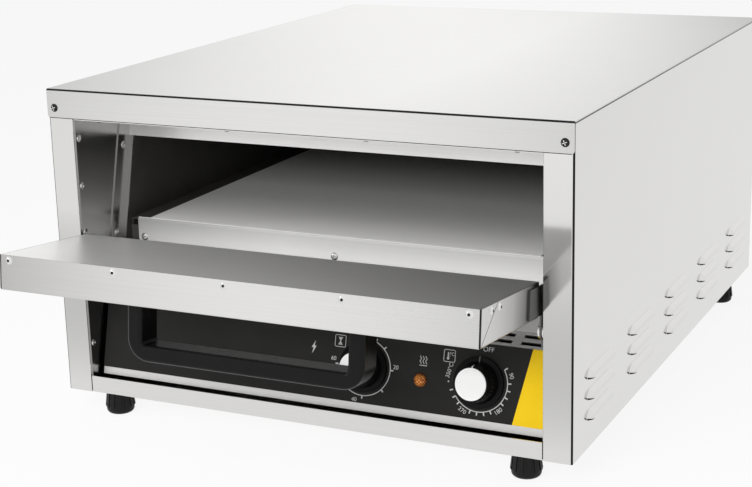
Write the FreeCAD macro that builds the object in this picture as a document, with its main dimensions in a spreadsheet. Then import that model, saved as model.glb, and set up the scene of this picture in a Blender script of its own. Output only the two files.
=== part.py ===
import FreeCAD, Part
import os
import re
import Sketcher
from FreeCAD import Placement, Rotation, Vector

# Countertop pizza oven with a drop-down door, standing on its feet at Z 0.
# The front faces -Y, lengths are in millimetres and angles in degrees.
# Sizes that name a place are measured from the casing's front plane and bottom,
# from the foot of the leaning control panel, or from the door's hinge line.
SIZES = {
    # folded sheet
    "skin": 1,
    "bend": 2,
    "fit_gap": 0.1,
    "overrun": 5,
    # casing
    "casing_width": 480,
    "casing_depth": 610,
    "casing_height": 276,
    "post_width": 24.5,
    "post_return": 14,
    "side_flange": 14,
    "header_height": 25.5,
    "header_return": 16,
    "header_corner": 3,
    "rear_drop": 20,
    "rail_height": 15.3,
    "rail_gap": 1,
    "base_flange": 14,
    # pressed louvres in the side panels
    "louvre_length": 68,
    "louvre_rise": 8,
    "louvre_bulge": 4.5,
    "louvre_end": 70,
    "louvre_row_pitch": 17.5,
    "louvre_low": 25,
    # slots in the rear panel
    "rear_slot_length": 60,
    "rear_slot_width": 5,
    "rear_slot_pitch": 78,
    "rear_slot_row_pitch": 14,
    "rear_slot_low": 100,
    # feet
    "foot_height": 21,
    "foot_radius": 12.5,
    "foot_neck": 10.8,
    "foot_round": 4,
    "foot_recess": 5.5,
    "foot_recess_depth": 12,
    "front_foot_inset": 44,
    "front_foot_y": 16,
    "rear_foot_inset": 14.5,
    "rear_foot_space": 72,
    # screws and blind rivets
    "screw_radius": 2,
    "screw_length": 9,
    "screw_head": 3.6,
    "screw_head_rise": 2,
    "cross_width": 0.9,
    "cross_length": 3.8,
    "cross_depth": 1.2,
    "rivet_radius": 1.6,
    "rivet_length": 2.6,
    "rivet_head": 3.3,
    "rivet_head_rise": 1.3,
    "rivet_pit": 1,
    "rivet_pit_depth": 0.8,
    "header_screw_edge": 7.3,
    "header_screw_drop": 16.5,
    "soffit_screw_y": 7,
    "soffit_screw_edge": 22.5,
    "rear_screw_edge": 7,
    "rear_screw_drop": 46,
    "rear_screw_low": 30,
    "cover_screw_edge": 50,
    # jambs and door frame
    "jamb_margin": 0.3,
    "jamb_rivet_y": 7.5,
    "jamb_rivet_drop": 18.5,
    "jamb_rivet_rise": 42.1,
    "jamb_rivet_low": 45,
    "frame_depth": 17.2,
    "frame_leg_low": 120,
    "frame_rivet_low": 128.7,
    "frame_rivet_drop": 9.5,
    "frame_top_width": 29.5,
    "seat_width": 5.5,
    "sill_overlap": 2.5,
    "sill_top": 112,
    # leaning control panel
    "lean": 14,
    "panel_set_back": 14,
    "panel_bottom": 14,
    "panel_top": 69.8,
    "panel_flange": 10,
    "shelf_rise": 11.7,
    "fascia": 0.8,
    "fascia_low": 6.6,
    "shelf_slot_width": 3.8,
    "shelf_slot_last": 31,
    "shelf_slot_bridge": 8,
    "shelf_slot_front": 5.6,
    "shelf_slot_row_pitch": 7.1,
    "shelf_slot_edge": 4,
    # dials
    "dial_height": 37.6,
    "dial_spacing": 104.5,
    "dial_edge": 58,
    "shaft_radius": 3,
    "shaft_play": 0.05,
    "shaft_out": 14,
    "shaft_in": 8,
    "shaft_hole": 5,
    "knob_gap": 0.6,
    "knob_height": 20,
    "skirt_radius": 21.5,
    "skirt_height": 3.5,
    "grip_base": 17.5,
    "grip_top": 14.6,
    "cap_radius": 13.3,
    "cap_height": 1,
    "pointer_width": 1.6,
    "pointer_rise": 0.6,
    "pointer_inset": 0.8,
    "timer_box": 50,
    "timer_deep": 38,
    "thermostat_box": 40,
    "thermostat_deep": 30,
    # lamp
    "lamp_offset": 52.6,
    "lamp_height": 33,
    "lens_radius": 6,
    "lens_rise": 3.6,
    "lamp_barrel": 5,
    "lamp_radius": 6.5,
    "lamp_deep": 20,
    # chamber
    "chamber_floor": 114,
    "ceiling_drop": 14.5,
    "rear_space": 105,
    "stand_half": 150,
    "stand_inset": 65,
    "stand_flange": 15,
    # baking deck
    "deck_side_gap": 21,
    "deck_setback": 2.8,
    "deck_back_gap": 15,
    "deck_rise": 34,
    "deck_thickness": 2,
    "deck_bend": 2.5,
    "lip_side_gap": 9,
    "lip_height": 27,
    "lip_screw_edge": 6,
    "lip_screw_drop": 18,
    "bar_drop": 6,
    "ledge_overlap": 10,
    "ledge_drop": 12,
    # tubular heating elements
    "element_radius": 3.5,
    "element_side_gap": 59,
    "element_front_gap": 8.4,
    "element_back_gap": 31.5,
    "element_tail": 19,
    "element_floor_gap": 14,
    "element_ceiling_gap": 7,
    "clip_width": 12,
    "clip_thickness": 2,
    "clip_inset": 50,
    # insulation
    "wool_gap": 4,
    "cover_air": 7,
    "side_insulation": 19,
    "rear_insulation": 30,
    # thermostat capillary and bulb
    "capillary_radius": 1,
    "capillary_bend": 12,
    "capillary_side_gap": 11,
    "capillary_space": 45,
    "bulb_radius": 3.2,
    "bulb_length": 80,
    "bulb_drop": 13,
    # supply
    "block_offset": 40,
    "block_space": 48,
    "block_length": 42,
    "block_width": 22,
    "block_height": 18,
    "block_hole": 3,
    "block_hole_pitch": 13,
    "gland_edge": 90,
    "gland_z": 50,
    "gland_reach": 20,
    "gland_bore": 4,
    "gland_barrel": 8,
    "gland_flange": 13,
    "gland_flange_height": 6,
    "gland_dome": 10.5,
    "gland_mouth": 6,
    "gland_taper": 5,
    "gland_inside": 12,
    "gland_nut": 13,
    "gland_nut_height": 6,
    # door and hinge
    "pivot_forward": 24.05,
    "pivot_rise": 88.2,
    "open_rise": 6.1,
    "seat_gap": 0.3,
    "door_side_gap": 3.5,
    "door_thickness": 29.5,
    "door_overlap": 4.6,
    "hinge_lift": 12.9,
    "inner_flange": 10,
    "door_rivet_edge": 9,
    "door_rivet_inset": 4.5,
    "end_rivet_first": 21,
    "end_rivet_pitch": 16,
    "arm_thickness": 1.5,
    "arm_rise": 29,
    "arm_neck": 6,
    "arm_hub": 8,
    "arm_foot_low": 14,
    "arm_foot_deep": 38,
    "arm_foot_high": 36,
    "arm_heel": 13,
    "arm_heel_width": 5,
    "pin_radius": 4,
    "pin_play": 0.06,
    "pin_head": 6.5,
    "pin_head_height": 2,
    "bush_radius": 7,
    "stop_radius": 2.5,
    "stop_drop": 10.5,
    # handle
    "handle_half": 106.5,
    "handle_reach": 52,
    "handle_leg": 14,
    "handle_bar": 14,
    "handle_depth": 26,
    "handle_drop": 27,
    "handle_corner": 19,
    "handle_inner_corner": 3,
    "handle_edge": 3.5,
    "handle_screw_length": 16,
    "handle_screw_head": 4.5,
    "handle_screw_head_height": 2.5,
}

doc = FreeCAD.newDocument("pizza_oven")
sheet = doc.addObject("Spreadsheet::Sheet", "Sizes")
for row, (alias, amount) in enumerate(SIZES.items(), 1):
    sheet.set(f"A{row}", alias)
    sheet.set(f"B{row}", str(amount))
    sheet.setAlias(f"B{row}", alias)
doc.recompute()

# Places that several pieces share, each worked out from the sheet's sizes
POST_X = "(casing_width / 2 - post_width)"
JAMB_X = "(casing_width / 2 - post_width - skin)"
HALF = "casing_width / 2"
DOOR_HALF = f"({JAMB_X} - door_side_gap)"
HEADER_Z = "(casing_height - header_height)"
PANEL_BACK = "(fascia + skin)"
FRAME_BACK = "(frame_depth + skin)"
DECK_UNDER = "(deck_top - deck_thickness)"
STOP_BACK = "(arm_heel_width / 2 + stop_radius + fit_gap)"
PIVOT_Y = "(panel_set_back - pivot_forward * cos(lean) + pivot_rise * sin(lean))"
PIVOT_Z = "(panel_bottom + pivot_forward * sin(lean) + pivot_rise * cos(lean))"
STRIP_TOP = f"(({HEADER_Z} - skin - panel_bottom + frame_depth * sin(lean)) / cos(lean))"


def lean_y(depth, height):
    """Y of a plane parallel to the leaning panel, at a height in the casing."""
    return f"(panel_set_back + ({depth}) / cos(lean) + (({height}) - panel_bottom) * tan(lean))"


PLACES = {
    "louvre_pitch": "(casing_depth - 2 * louvre_end) / 4",
    "front_foot_x": f"{HALF} - front_foot_inset",
    "rear_foot_x": f"{HALF} - rear_foot_inset",
    "rear_foot_y": "casing_depth - rear_foot_space",
    "soffit_screw_x": f"{JAMB_X} - soffit_screw_edge",
    "rear_screw_top": "casing_height - rear_screw_drop",
    "cover_screw_x": f"{HALF} - cover_screw_edge",
    "jamb_depth": f"{lean_y(FRAME_BACK, HEADER_Z)} + jamb_margin",
    "jamb_rivet_top": f"{HEADER_Z} - jamb_rivet_drop",
    "jamb_rivet_foot": f"{PIVOT_Z} + jamb_rivet_rise",
    "opening_top": f"{STRIP_TOP} - frame_top_width",
    "frame_rivet_high": "opening_top - frame_rivet_drop",
    "shelf_end": "panel_top + shelf_rise",
    "sill_low": "shelf_end - sill_overlap",
    "shelf_slot_pitch": f"({DOOR_HALF} - shelf_slot_last) / 4",
    "thermostat_x": f"{DOOR_HALF} - dial_edge",
    "timer_x": "thermostat_x - dial_spacing",
    "lamp_x": "thermostat_x - lamp_offset",
    "chamber_half": f"{JAMB_X} - seat_width",
    "chamber_ceiling": f"{HEADER_Z} - ceiling_drop",
    "chamber_depth": "casing_depth - rear_space",
    "stand_y": "chamber_depth - stand_inset",
    "deck_half": "chamber_half - deck_side_gap",
    "deck_top": "chamber_floor + deck_rise",
    "deck_front": f"{lean_y(FRAME_BACK, 'deck_top')} + deck_setback",
    "deck_back": "chamber_depth - deck_back_gap",
    "lip_half": "chamber_half - lip_side_gap",
    "lip_screw_x": "lip_half - lip_screw_edge",
    "element_pitch": "(chamber_half - element_side_gap) * 2 / 5",
    "element_swing": "element_pitch / 2 + element_radius",
    "element_front": f"{lean_y(FRAME_BACK, 'chamber_ceiling')} + element_swing + element_front_gap",
    "element_back": "chamber_depth - element_swing - element_back_gap",
    "wool_front": "jamb_depth + wool_gap",
    "wool_back": "chamber_depth + skin + rear_insulation",
    "element_end": "wool_back + element_tail",
    "capillary_x": "chamber_half - capillary_side_gap",
    "capillary_y": "casing_depth - capillary_space",
    "bulb_z": "chamber_ceiling - bulb_drop",
    "gland_x": f"{HALF} - gland_edge",
    "block_x": "gland_x - block_offset",
    "block_y": "casing_depth - block_space",
    "door_inner": "pivot_forward + frame_depth - seat_gap",
    "door_outer": "door_inner - door_thickness",
    "door_high": "opening_top + door_overlap - pivot_rise",
    "door_rivet_pitch": f"({DOOR_HALF} - door_rivet_edge) / 2",
}
DOOR_REACH = (
    "((door_high - bend) * cos(open_rise) + bend"
    f" - (door_outer + bend) * sin(open_rise) - {PIVOT_Y})"
)
FRONT_Y = f"(({DOOR_REACH} - casing_depth - gland_reach) / 2)"
RIGHT = "right"
LEFT = "left"

# Each frame has its turn about X and the place of its origin.
FRAMES = {
    "casing": ("0", FRONT_Y, "foot_height"),
    "panel": ("(-lean)", f"({FRONT_Y} + panel_set_back)", "(foot_height + panel_bottom)"),
    "door": ("(90 - open_rise)", f"({FRONT_Y} + {PIVOT_Y})", f"(foot_height + {PIVOT_Z})"),
}
X_AXIS = Vector(1, 0, 0)
Y_AXIS = Vector(0, 1, 0)
QUARTER = 90
TURNS = {
    "+x": Rotation(Y_AXIS, QUARTER),
    "-x": Rotation(Y_AXIS, -QUARTER),
    "+y": Rotation(X_AXIS, -QUARTER),
    "-y": Rotation(X_AXIS, QUARTER),
    "+z": Rotation(),
    "-z": Rotation(X_AXIS, 2 * QUARTER),
}
WORD = re.compile(r"[a-z_]+")
nodes = []


def formula(text):
    """The text with each shared place written out and the sheet's name before each size."""
    def written(found):
        word = found[0]
        if word in PLACES:
            return f"({formula(PLACES[word])})"
        return f"Sizes.{word}" if word in SIZES else word

    return WORD.sub(written, text)


def number(text):
    """What a formula comes to."""
    return float(sheet.evalExpression(formula(text)))


def bind(item, formulas):
    for path, text in formulas.items():
        item.setExpression(path, formula(text))


def put(item, x, y, z):
    bind(item, {"Placement.Base.x": x, "Placement.Base.y": y, "Placement.Base.z": z})
    return item


def half_span(half):
    return f"-({half})", half


def on_side(side, inner, outer):
    """A span across the oven on its left or right side."""
    if side == RIGHT:
        return inner, outer
    return f"-({outer})", f"-({inner})"


def sided(side, x):
    return x if side == RIGHT else f"-({x})"


def outward(side):
    return "+x" if side == RIGHT else "-x"


def inward(side):
    return "-x" if side == RIGHT else "+x"


def box(x, y, z):
    block = doc.addObject("Part::Box", "Block")
    for axis, size, (low, high) in zip("xyz", ("Length", "Width", "Height"), (x, y, z)):
        bind(block, {size: f"({high}) - ({low})", f"Placement.Base.{axis}": low})
    return block


def rod(axis, centre, span, radius):
    """A round bar along an axis; centre gives its other two coordinates in order."""
    bar = doc.addObject("Part::Cylinder", "Rod")
    bar.Placement = Placement(Vector(), TURNS["+" + axis])
    low, high = span
    place = list(centre)
    place.insert("xyz".index(axis), low)
    bind(bar, {"Radius": radius, "Height": f"({high}) - ({low})"})
    return put(bar, *place)


def dome(radius, rise):
    """A shallow round head whose flat side lies at Z 0."""
    ball = f"((({radius}) ^ 2 + ({rise}) ^ 2) / (2 * ({rise})))"
    cap = doc.addObject("Part::Sphere", "Dome")
    bind(cap, {"Radius": ball, "Angle1": f"asin(({ball} - ({rise})) / {ball})"})
    return put(cap, "0", "0", f"({rise}) - {ball}")


def join(*items):
    whole = doc.addObject("Part::MultiFuse", "Join")
    whole.Shapes = items
    whole.Refine = True
    return whole


def group(*items):
    bundle = doc.addObject("Part::Compound", "Group")
    bundle.Links = items
    return bundle


def cut(base, *tools):
    rest = doc.addObject("Part::Cut", "Cut")
    rest.Base = base
    rest.Tool = tools[0] if len(tools) == 1 else group(*tools)
    rest.Refine = True
    return rest


def common(first, second):
    shared = doc.addObject("Part::Common", "Common")
    shared.Base = first
    shared.Tool = second
    return shared


def copy_of(original, direction, x, y, z):
    """The same piece again, turned from +Z to a direction and put at a place."""
    link = doc.addObject("App::Link", "Copy")
    link.LinkedObject = original
    link.Placement = Placement(Vector(), TURNS[direction])
    return put(link, x, y, z)


def rounded(item, radius, chosen):
    """Rounds the edges that a test on their middle point and direction picks."""
    doc.recompute()
    edges = []
    for index, edge in enumerate(item.Shape.Edges, 1):
        middle = edge.valueAt((edge.FirstParameter + edge.LastParameter) / 2)
        if chosen(edge, middle):
            edges.append((index, number(radius), number(radius)))
    smooth = doc.addObject("Part::Fillet", "Rounded")
    smooth.Base = item
    smooth.Edges = edges
    return smooth


def near(value, text):
    return abs(value - number(text)) < number("fit_gap")


def along(edge, axis):
    if edge.Curve.TypeId != "Part::GeomLine":
        return False
    return abs(edge.Curve.Direction.dot(axis)) > 1 - number("fit_gap")


def outline(body, role, points):
    """A closed sketch through points on an origin plane of its body."""
    sketch = body.newObject("Sketcher::SketchObject", "Outline")
    plane = next(item for item in body.Origin.OriginFeatures if item.Role == role)
    sketch.AttachmentSupport = [(plane, "")]
    sketch.MapMode = "FlatFace"
    corners = [Vector(number(x), number(y), 0) for x, y in points]
    count = len(points)
    for index, corner in enumerate(corners):
        sketch.addGeometry(Part.LineSegment(corner, corners[(index + 1) % count]))
    for index in range(count):
        sketch.addConstraint(Sketcher.Constraint("Coincident", index, 2, (index + 1) % count, 1))
    for index, (x, y) in enumerate(points):
        corner = corners[index]
        for kind, text, amount, axis in (("DistanceX", x, corner.x, -2), ("DistanceY", y, corner.y, -1)):
            if text == "0":
                sketch.addConstraint(Sketcher.Constraint("PointOnObject", index, 1, axis))
                continue
            rule = sketch.addConstraint(Sketcher.Constraint(kind, -1, 1, index, 1, amount))
            bind(sketch, {f"Constraints[{rule}]": text})
    return sketch


def prism(role, points, length, symmetric=True):
    """A body padded from an outline, to both sides of its plane or to one."""
    body = doc.addObject("PartDesign::Body", "Prism")
    sketch = outline(body, role, points)
    pad = body.newObject("PartDesign::Pad", "Pad")
    pad.Profile = sketch
    pad.SideType = "Symmetric" if symmetric else "One side"
    bind(pad, {"Length": length})
    return body


def turned(role, points):
    """A body of revolution about its sketch's vertical axis."""
    body = doc.addObject("PartDesign::Body", "Turned")
    sketch = outline(body, role, points)
    spin = body.newObject("PartDesign::Revolution", "Revolution")
    spin.Profile = sketch
    spin.ReferenceAxis = (sketch, ["V_Axis"])
    return body


def node(label, item, frame, x="0", y="0", z="0"):
    """Names a finished piece and seats its origin at a point of a frame."""
    turn, origin_y, origin_z = FRAMES[frame]
    item.Label = label
    item.Placement = Placement(Vector(), Rotation(X_AXIS, QUARTER))
    bind(item, {"Placement.Rotation.Angle": turn})
    put(
        item, x,
        f"{origin_y} + ({y}) * cos({turn}) - ({z}) * sin({turn})",
        f"{origin_z} + ({y}) * sin({turn}) + ({z}) * cos({turn})",
    )
    nodes.append(item)
    return item


# Pan-head screw with a cross recess, its seat at Z 0 and its shank below
screw_cross = join(
    box(half_span("cross_width / 2"), half_span("cross_length / 2"),
        ("screw_head_rise - cross_depth", "screw_head_rise")),
    box(half_span("cross_length / 2"), half_span("cross_width / 2"),
        ("screw_head_rise - cross_depth", "screw_head_rise")),
)
screw_blank = join(
    dome("screw_head", "screw_head_rise"),
    rod("z", ("0", "0"), ("-screw_length", "0"), "screw_radius"),
)
screw = cut(screw_blank, screw_cross)

# Blind rivet with the pit that its broken mandrel leaves
rivet_blank = join(
    dome("rivet_head", "rivet_head_rise"),
    rod("z", ("0", "0"), ("-rivet_length", "0"), "rivet_radius"),
)
rivet = cut(
    rivet_blank,
    rod("z", ("0", "0"), ("rivet_head_rise - rivet_pit_depth", "rivet_head_rise"), "rivet_pit"),
)
SCREW_HOLE = "screw_radius + fit_gap"
RIVET_HOLE = "rivet_radius + fit_gap"
casing_screws = []
frame_rivets = []
door_rivets = []
SIDES = (LEFT, RIGHT)

# Places of the screws and rivets that hold the casing
FEET = {
    "front_left_foot": ("-front_foot_x", "front_foot_y"),
    "front_right_foot": ("front_foot_x", "front_foot_y"),
    "rear_left_foot": ("-rear_foot_x", "rear_foot_y"),
    "rear_right_foot": ("rear_foot_x", "rear_foot_y"),
}
HEADER_SCREW_X = f"({HALF} - header_screw_edge)"
HEADER_SCREW_Z = "(casing_height - header_screw_drop)"
SOFFIT_SCREWS = [f"{step} * soffit_screw_x / 3" for step in (-3, -1, 1, 3)]
REAR_SCREW_X = f"({HALF} - rear_screw_edge)"
REAR_SCREWS = ["rear_screw_low", "((rear_screw_low + rear_screw_top) / 2)", "rear_screw_top"]
COVER_SCREWS = ["-cover_screw_x", "0", "cover_screw_x"]
JAMB_RIVETS = ["jamb_rivet_low", "jamb_rivet_foot", "((jamb_rivet_foot + jamb_rivet_top) / 2)",
               "jamb_rivet_top"]
FRAME_RIVETS = ("frame_rivet_low", "frame_rivet_high")

# Moulded rubber feet, each held by a screw from below
for label, (x, y) in FEET.items():
    foot_blank = turned("XZ_Plane", [
        ("foot_recess", "0"),
        ("foot_radius", "0"),
        ("foot_radius", "foot_round * 2"),
        ("foot_neck", "foot_height"),
        (SCREW_HOLE, "foot_height"),
        (SCREW_HOLE, "foot_recess_depth"),
        ("foot_recess", "foot_recess_depth"),
    ])
    foot = rounded(foot_blank, "foot_round", lambda edge, at: (
        near(at.z, "0") and near(edge.BoundBox.XMax, "foot_radius")))
    node(label, foot, "casing", x, y, "-foot_height")
    casing_screws.append(copy_of(screw, "-z", x, y, "foot_recess_depth - foot_height"))

# Base pan with its front rail and its rear flange folded up
pan = join(
    box(half_span(f"{HALF} - skin"), ("2 * skin", "casing_depth - 2 * skin"), ("0", "skin")),
    box(half_span(f"{POST_X} - rail_gap"), ("skin", "2 * skin"), ("0", "rail_height")),
    box(half_span(f"{HALF} - side_flange - rail_gap"),
        ("casing_depth - 3 * skin", "casing_depth - 2 * skin"), ("0", "base_flange")),
)
pan_bent = rounded(pan, "skin", lambda edge, at: (
    along(edge, X_AXIS) and near(at.y, "skin") and near(at.z, "0")))
base_holes = [rod("z", place, ("-overrun", "overrun"), SCREW_HOLE) for place in FEET.values()]
node("base_pan", cut(pan_bent, *base_holes), "casing")

# One louvre's round-ended hollow, lying along Y with its middle at the origin
HOOD_BALL = "((louvre_rise ^ 2 + louvre_bulge ^ 2) / (2 * louvre_bulge))"
HOOD_RUN = half_span("(louvre_length / 2 - louvre_rise)")


def capsule(radius):
    ends = []
    for place in HOOD_RUN:
        ball = doc.addObject("Part::Sphere", "Ball")
        bind(ball, {"Radius": radius})
        ends.append(put(ball, "0", place, "0"))
    return join(rod("y", ("0", "0"), HOOD_RUN, radius), *ends)


hood_outside = capsule(HOOD_BALL)
hood_inside = capsule(f"{HOOD_BALL} - skin")
LOUVRE_COLUMNS = [f"(casing_depth / 2 + {step} * louvre_pitch)" for step in (-2, -1, 0, 1, 2)]
LOUVRE_ROWS = [f"(louvre_low + {step} * louvre_row_pitch)" for step in range(3)]


def louvres(side, original, inner):
    """All louvre shapes of one side, cut off at their open lower edges."""
    middle = sided(side, f"{HALF} + louvre_bulge - {HOOD_BALL}")
    whole = join(*[
        copy_of(original, "+z", middle, y, z) for y in LOUVRE_COLUMNS for z in LOUVRE_ROWS])
    bands = group(*[
        box(on_side(side, inner, f"{HALF} + louvre_bulge"),
            ("0", "casing_depth"), (z, f"{z} + louvre_rise")) for z in LOUVRE_ROWS])
    return common(whole, bands)


# Side panels with front posts, return flanges and pressed louvres
for side in SIDES:
    WALL = on_side(side, f"{HALF} - skin", HALF)
    FOLD = on_side(side, f"{HALF} - side_flange", HALF)
    folded = join(
        box(WALL, ("skin", "casing_depth - 2 * skin"), ("0", "casing_height - skin")),
        box(on_side(side, POST_X, HALF), ("skin", "2 * skin"), ("0", "casing_height - skin")),
        box(on_side(side, POST_X, f"{POST_X} + skin"), ("skin", "skin + post_return"),
            ("skin", "casing_height - skin")),
        box(FOLD, ("casing_depth - 3 * skin", "casing_depth - 2 * skin"), ("skin", "casing_height - skin")),
        box(FOLD, ("2 * skin", "casing_depth - 2 * skin"),
            ("casing_height - 2 * skin", "casing_height - skin")),
    )
    bent = rounded(folded, "bend", lambda edge, at: (
        along(edge, Vector(0, 0, 1)) and near(at.y, "skin") and near(abs(at.x), HALF)))
    pressed = join(bent, louvres(side, hood_outside, f"{HALF} - skin"))
    vented = cut(pressed, louvres(side, hood_inside, f"{HALF} - skin - overrun"))
    holes = [rod("x", (PIVOT_Y, PIVOT_Z), on_side(side, f"{POST_X} - skin", f"{POST_X} + 2 * skin"),
                 "pin_radius + fit_gap")]
    for z in JAMB_RIVETS:
        holes.append(rod("x", ("jamb_rivet_y", z),
                         on_side(side, f"{POST_X} - skin", f"{POST_X} + 2 * skin"), RIVET_HOLE))
    for z in REAR_SCREWS:
        holes.append(rod("y", (sided(side, REAR_SCREW_X), z),
                         ("casing_depth - 4 * skin", "casing_depth"), SCREW_HOLE))
    holes.append(rod("y", (sided(side, HEADER_SCREW_X), HEADER_SCREW_Z), ("0", "3 * skin"), SCREW_HOLE))
    node(f"{side}_side_panel", cut(vented, *holes), "casing")

# Top cover: its front edge folds down as the header, with a return under it
cover = join(
    box(half_span(HALF), ("0", "casing_depth"), ("casing_height - skin", "casing_height")),
    box(half_span(HALF), ("0", "skin"), (HEADER_Z, "casing_height")),
    box(half_span(f"{JAMB_X} - skin"), ("0", "header_return"), (HEADER_Z, f"{HEADER_Z} + skin")),
    box(half_span(HALF), ("casing_depth - skin", "casing_depth"),
        ("casing_height - rear_drop", "casing_height")),
)
cover_bent = rounded(cover, "bend", lambda edge, at: (
    along(edge, X_AXIS) and near(at.z, "casing_height")))
cover_cornered = rounded(cover_bent, "header_corner", lambda edge, at: (
    along(edge, Y_AXIS) and near(abs(at.x), HALF) and near(at.z, HEADER_Z)))
cover_holes = []
cover_screws = []
for side in SIDES:
    x = sided(side, HEADER_SCREW_X)
    cover_holes.append(rod("y", (x, HEADER_SCREW_Z), ("-skin", "2 * skin"), SCREW_HOLE))
    cover_screws.append(copy_of(screw, "-y", x, "0", HEADER_SCREW_Z))
for x in SOFFIT_SCREWS:
    cover_holes.append(rod("z", (x, "soffit_screw_y"), (HEADER_Z, f"{HEADER_Z} + 2 * skin"), SCREW_HOLE))
    casing_screws.append(copy_of(screw, "-z", x, "soffit_screw_y", f"{HEADER_Z} - skin"))
for x in COVER_SCREWS:
    z = "casing_height - rear_drop / 2"
    cover_holes.append(rod("y", (x, z), ("casing_depth - 2 * skin", "casing_depth + skin"), SCREW_HOLE))
    casing_screws.append(copy_of(screw, "+y", x, "casing_depth", z))
node("top_cover", cut(cover_cornered, *cover_holes), "casing")
node("cover_screws", group(*cover_screws), "casing")

# Rear panel with vent slots and the hole for the cable gland
REAR_CUT = ("casing_depth - 3 * skin", "casing_depth")
rear_holes = [rod("y", ("gland_x", "gland_z"), REAR_CUT, "gland_barrel + fit_gap")]
for column in range(-1, 2):
    for row in range(5):
        middle = f"{column} * rear_slot_pitch"
        low = f"(rear_slot_low + {row} * rear_slot_row_pitch)"
        rear_holes.append(box(
            (f"{middle} - rear_slot_length / 2", f"{middle} + rear_slot_length / 2"),
            REAR_CUT, (low, f"{low} + rear_slot_width")))
for side in SIDES:
    for z in REAR_SCREWS:
        x = sided(side, REAR_SCREW_X)
        rear_holes.append(rod("y", (x, z), REAR_CUT, SCREW_HOLE))
        casing_screws.append(copy_of(screw, "+y", x, "casing_depth - skin", z))
for x in COVER_SCREWS:
    rear_holes.append(rod("y", (x, "casing_height - rear_drop / 2"), REAR_CUT, SCREW_HOLE))
rear = box(half_span(HALF), ("casing_depth - 2 * skin", "casing_depth - skin"), ("0", "casing_height - skin"))
node("rear_panel", cut(rear, *rear_holes), "casing")

# Jambs beside the door, riveted to the posts' return flanges
for side in SIDES:
    span = on_side(side, f"{JAMB_X} - skin", f"{POST_X} + skin")
    holes = [
        rod("x", (PIVOT_Y, PIVOT_Z), span, "pin_radius + fit_gap"),
        rod("x", (f"{PIVOT_Y} + {STOP_BACK} * cos(open_rise) - stop_drop * sin(open_rise)",
                  f"{PIVOT_Z} - {STOP_BACK} * sin(open_rise) - stop_drop * cos(open_rise)"),
            span, "stop_radius + fit_gap"),
    ]
    for z in JAMB_RIVETS:
        holes.append(rod("x", ("jamb_rivet_y", z), span, RIVET_HOLE))
        frame_rivets.append(copy_of(rivet, inward(side), sided(side, JAMB_X), "jamb_rivet_y", z))
    for z in FRAME_RIVETS:
        y = f"(panel_set_back + frame_depth / 2 * cos(lean) + {z} * sin(lean))"
        height = f"(panel_bottom - frame_depth / 2 * sin(lean) + {z} * cos(lean))"
        holes.append(rod("x", (y, height), span, RIVET_HOLE))
        frame_rivets.append(copy_of(rivet, inward(side), sided(side, f"{JAMB_X} - skin"), y, height))
    plate = box(on_side(side, JAMB_X, POST_X), ("3 * skin", "jamb_depth"), ("skin", "casing_height - skin"))
    node(f"{side}_jamb", cut(plate, *holes), "casing")
node("frame_rivets", group(*frame_rivets), "casing")

# Soffit above the door, screwed up to the header's return
soffit = box(half_span(f"{JAMB_X} - fit_gap"),
             ("2 * skin", lean_y(FRAME_BACK, HEADER_Z)), (f"{HEADER_Z} - skin", HEADER_Z))
soffit_holes = [rod("z", (x, "soffit_screw_y"), (f"{HEADER_Z} - 2 * skin", f"{HEADER_Z} + skin"), SCREW_HOLE)
                for x in SOFFIT_SCREWS]
node("soffit", cut(soffit, *soffit_holes), "casing")

# Door frame: strips on the jambs with a seat for the door, a top strip and a sill
SEAT = ("frame_depth", FRAME_BACK)
LEG_TOP = f"(({HEADER_Z} - skin - panel_bottom) / cos(lean) - skin)"
for side in SIDES:
    strip = join(
        box(on_side(side, f"{JAMB_X} - skin", JAMB_X), ("0", "frame_depth"), ("frame_leg_low", LEG_TOP)),
        box(on_side(side, "chamber_half", JAMB_X), SEAT, ("sill_low", "opening_top")),
    )
    holes = [rod("x", ("frame_depth / 2", z), on_side(side, f"{JAMB_X} - 2 * skin", f"{JAMB_X} + skin"),
                 RIVET_HOLE) for z in FRAME_RIVETS]
    node(f"{side}_door_frame", cut(strip, *holes), "panel")
node("top_door_frame", group(box(half_span(JAMB_X), SEAT, ("opening_top", STRIP_TOP))), "panel")
node("sill", group(box(half_span("chamber_half"), SEAT, ("sill_low", "sill_top"))), "panel")

# Chamber of flat sheets behind the door frame
CHAMBER_Z = ("chamber_floor", "chamber_ceiling")
for side in SIDES:
    wall = prism("YZ_Plane", [
        (lean_y(FRAME_BACK, "chamber_floor"), "chamber_floor"),
        ("chamber_depth", "chamber_floor"),
        ("chamber_depth", "chamber_ceiling"),
        (lean_y(FRAME_BACK, "chamber_ceiling"), "chamber_ceiling"),
    ], "skin")
    node(f"chamber_{side}_wall", wall, "casing", sided(side, "chamber_half + skin / 2"))
WIDE = half_span("chamber_half + skin")
LENGTHWISE = "chamber_depth + skin"
CEILING_TOP = "chamber_ceiling + skin"
node("chamber_ceiling", group(box(
    WIDE, (lean_y(FRAME_BACK, CEILING_TOP), LENGTHWISE), ("chamber_ceiling", CEILING_TOP))), "casing")
node("chamber_floor", group(box(
    WIDE, (lean_y(FRAME_BACK, "chamber_floor"), LENGTHWISE),
    ("chamber_floor - skin", "chamber_floor"))), "casing")
UPPER_Z = "(chamber_ceiling - element_ceiling_gap)"
LOWER_Z = "(chamber_floor + element_floor_gap)"
RUNS = [f"{step} * element_pitch / 2" for step in (-5, -3, -1, 1, 3, 5)]
TERMINALS = (RUNS[0], RUNS[-1])


def rear_holes_of_chamber(span):
    """Holes for the heating elements' ends and the thermostat's capillary."""
    holes = [rod("y", (x, z), span, "element_radius + fit_gap")
             for x in TERMINALS for z in (UPPER_Z, LOWER_Z)]
    return holes + [rod("y", ("capillary_x", "bulb_z"), span, "capillary_radius + fit_gap")]


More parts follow.
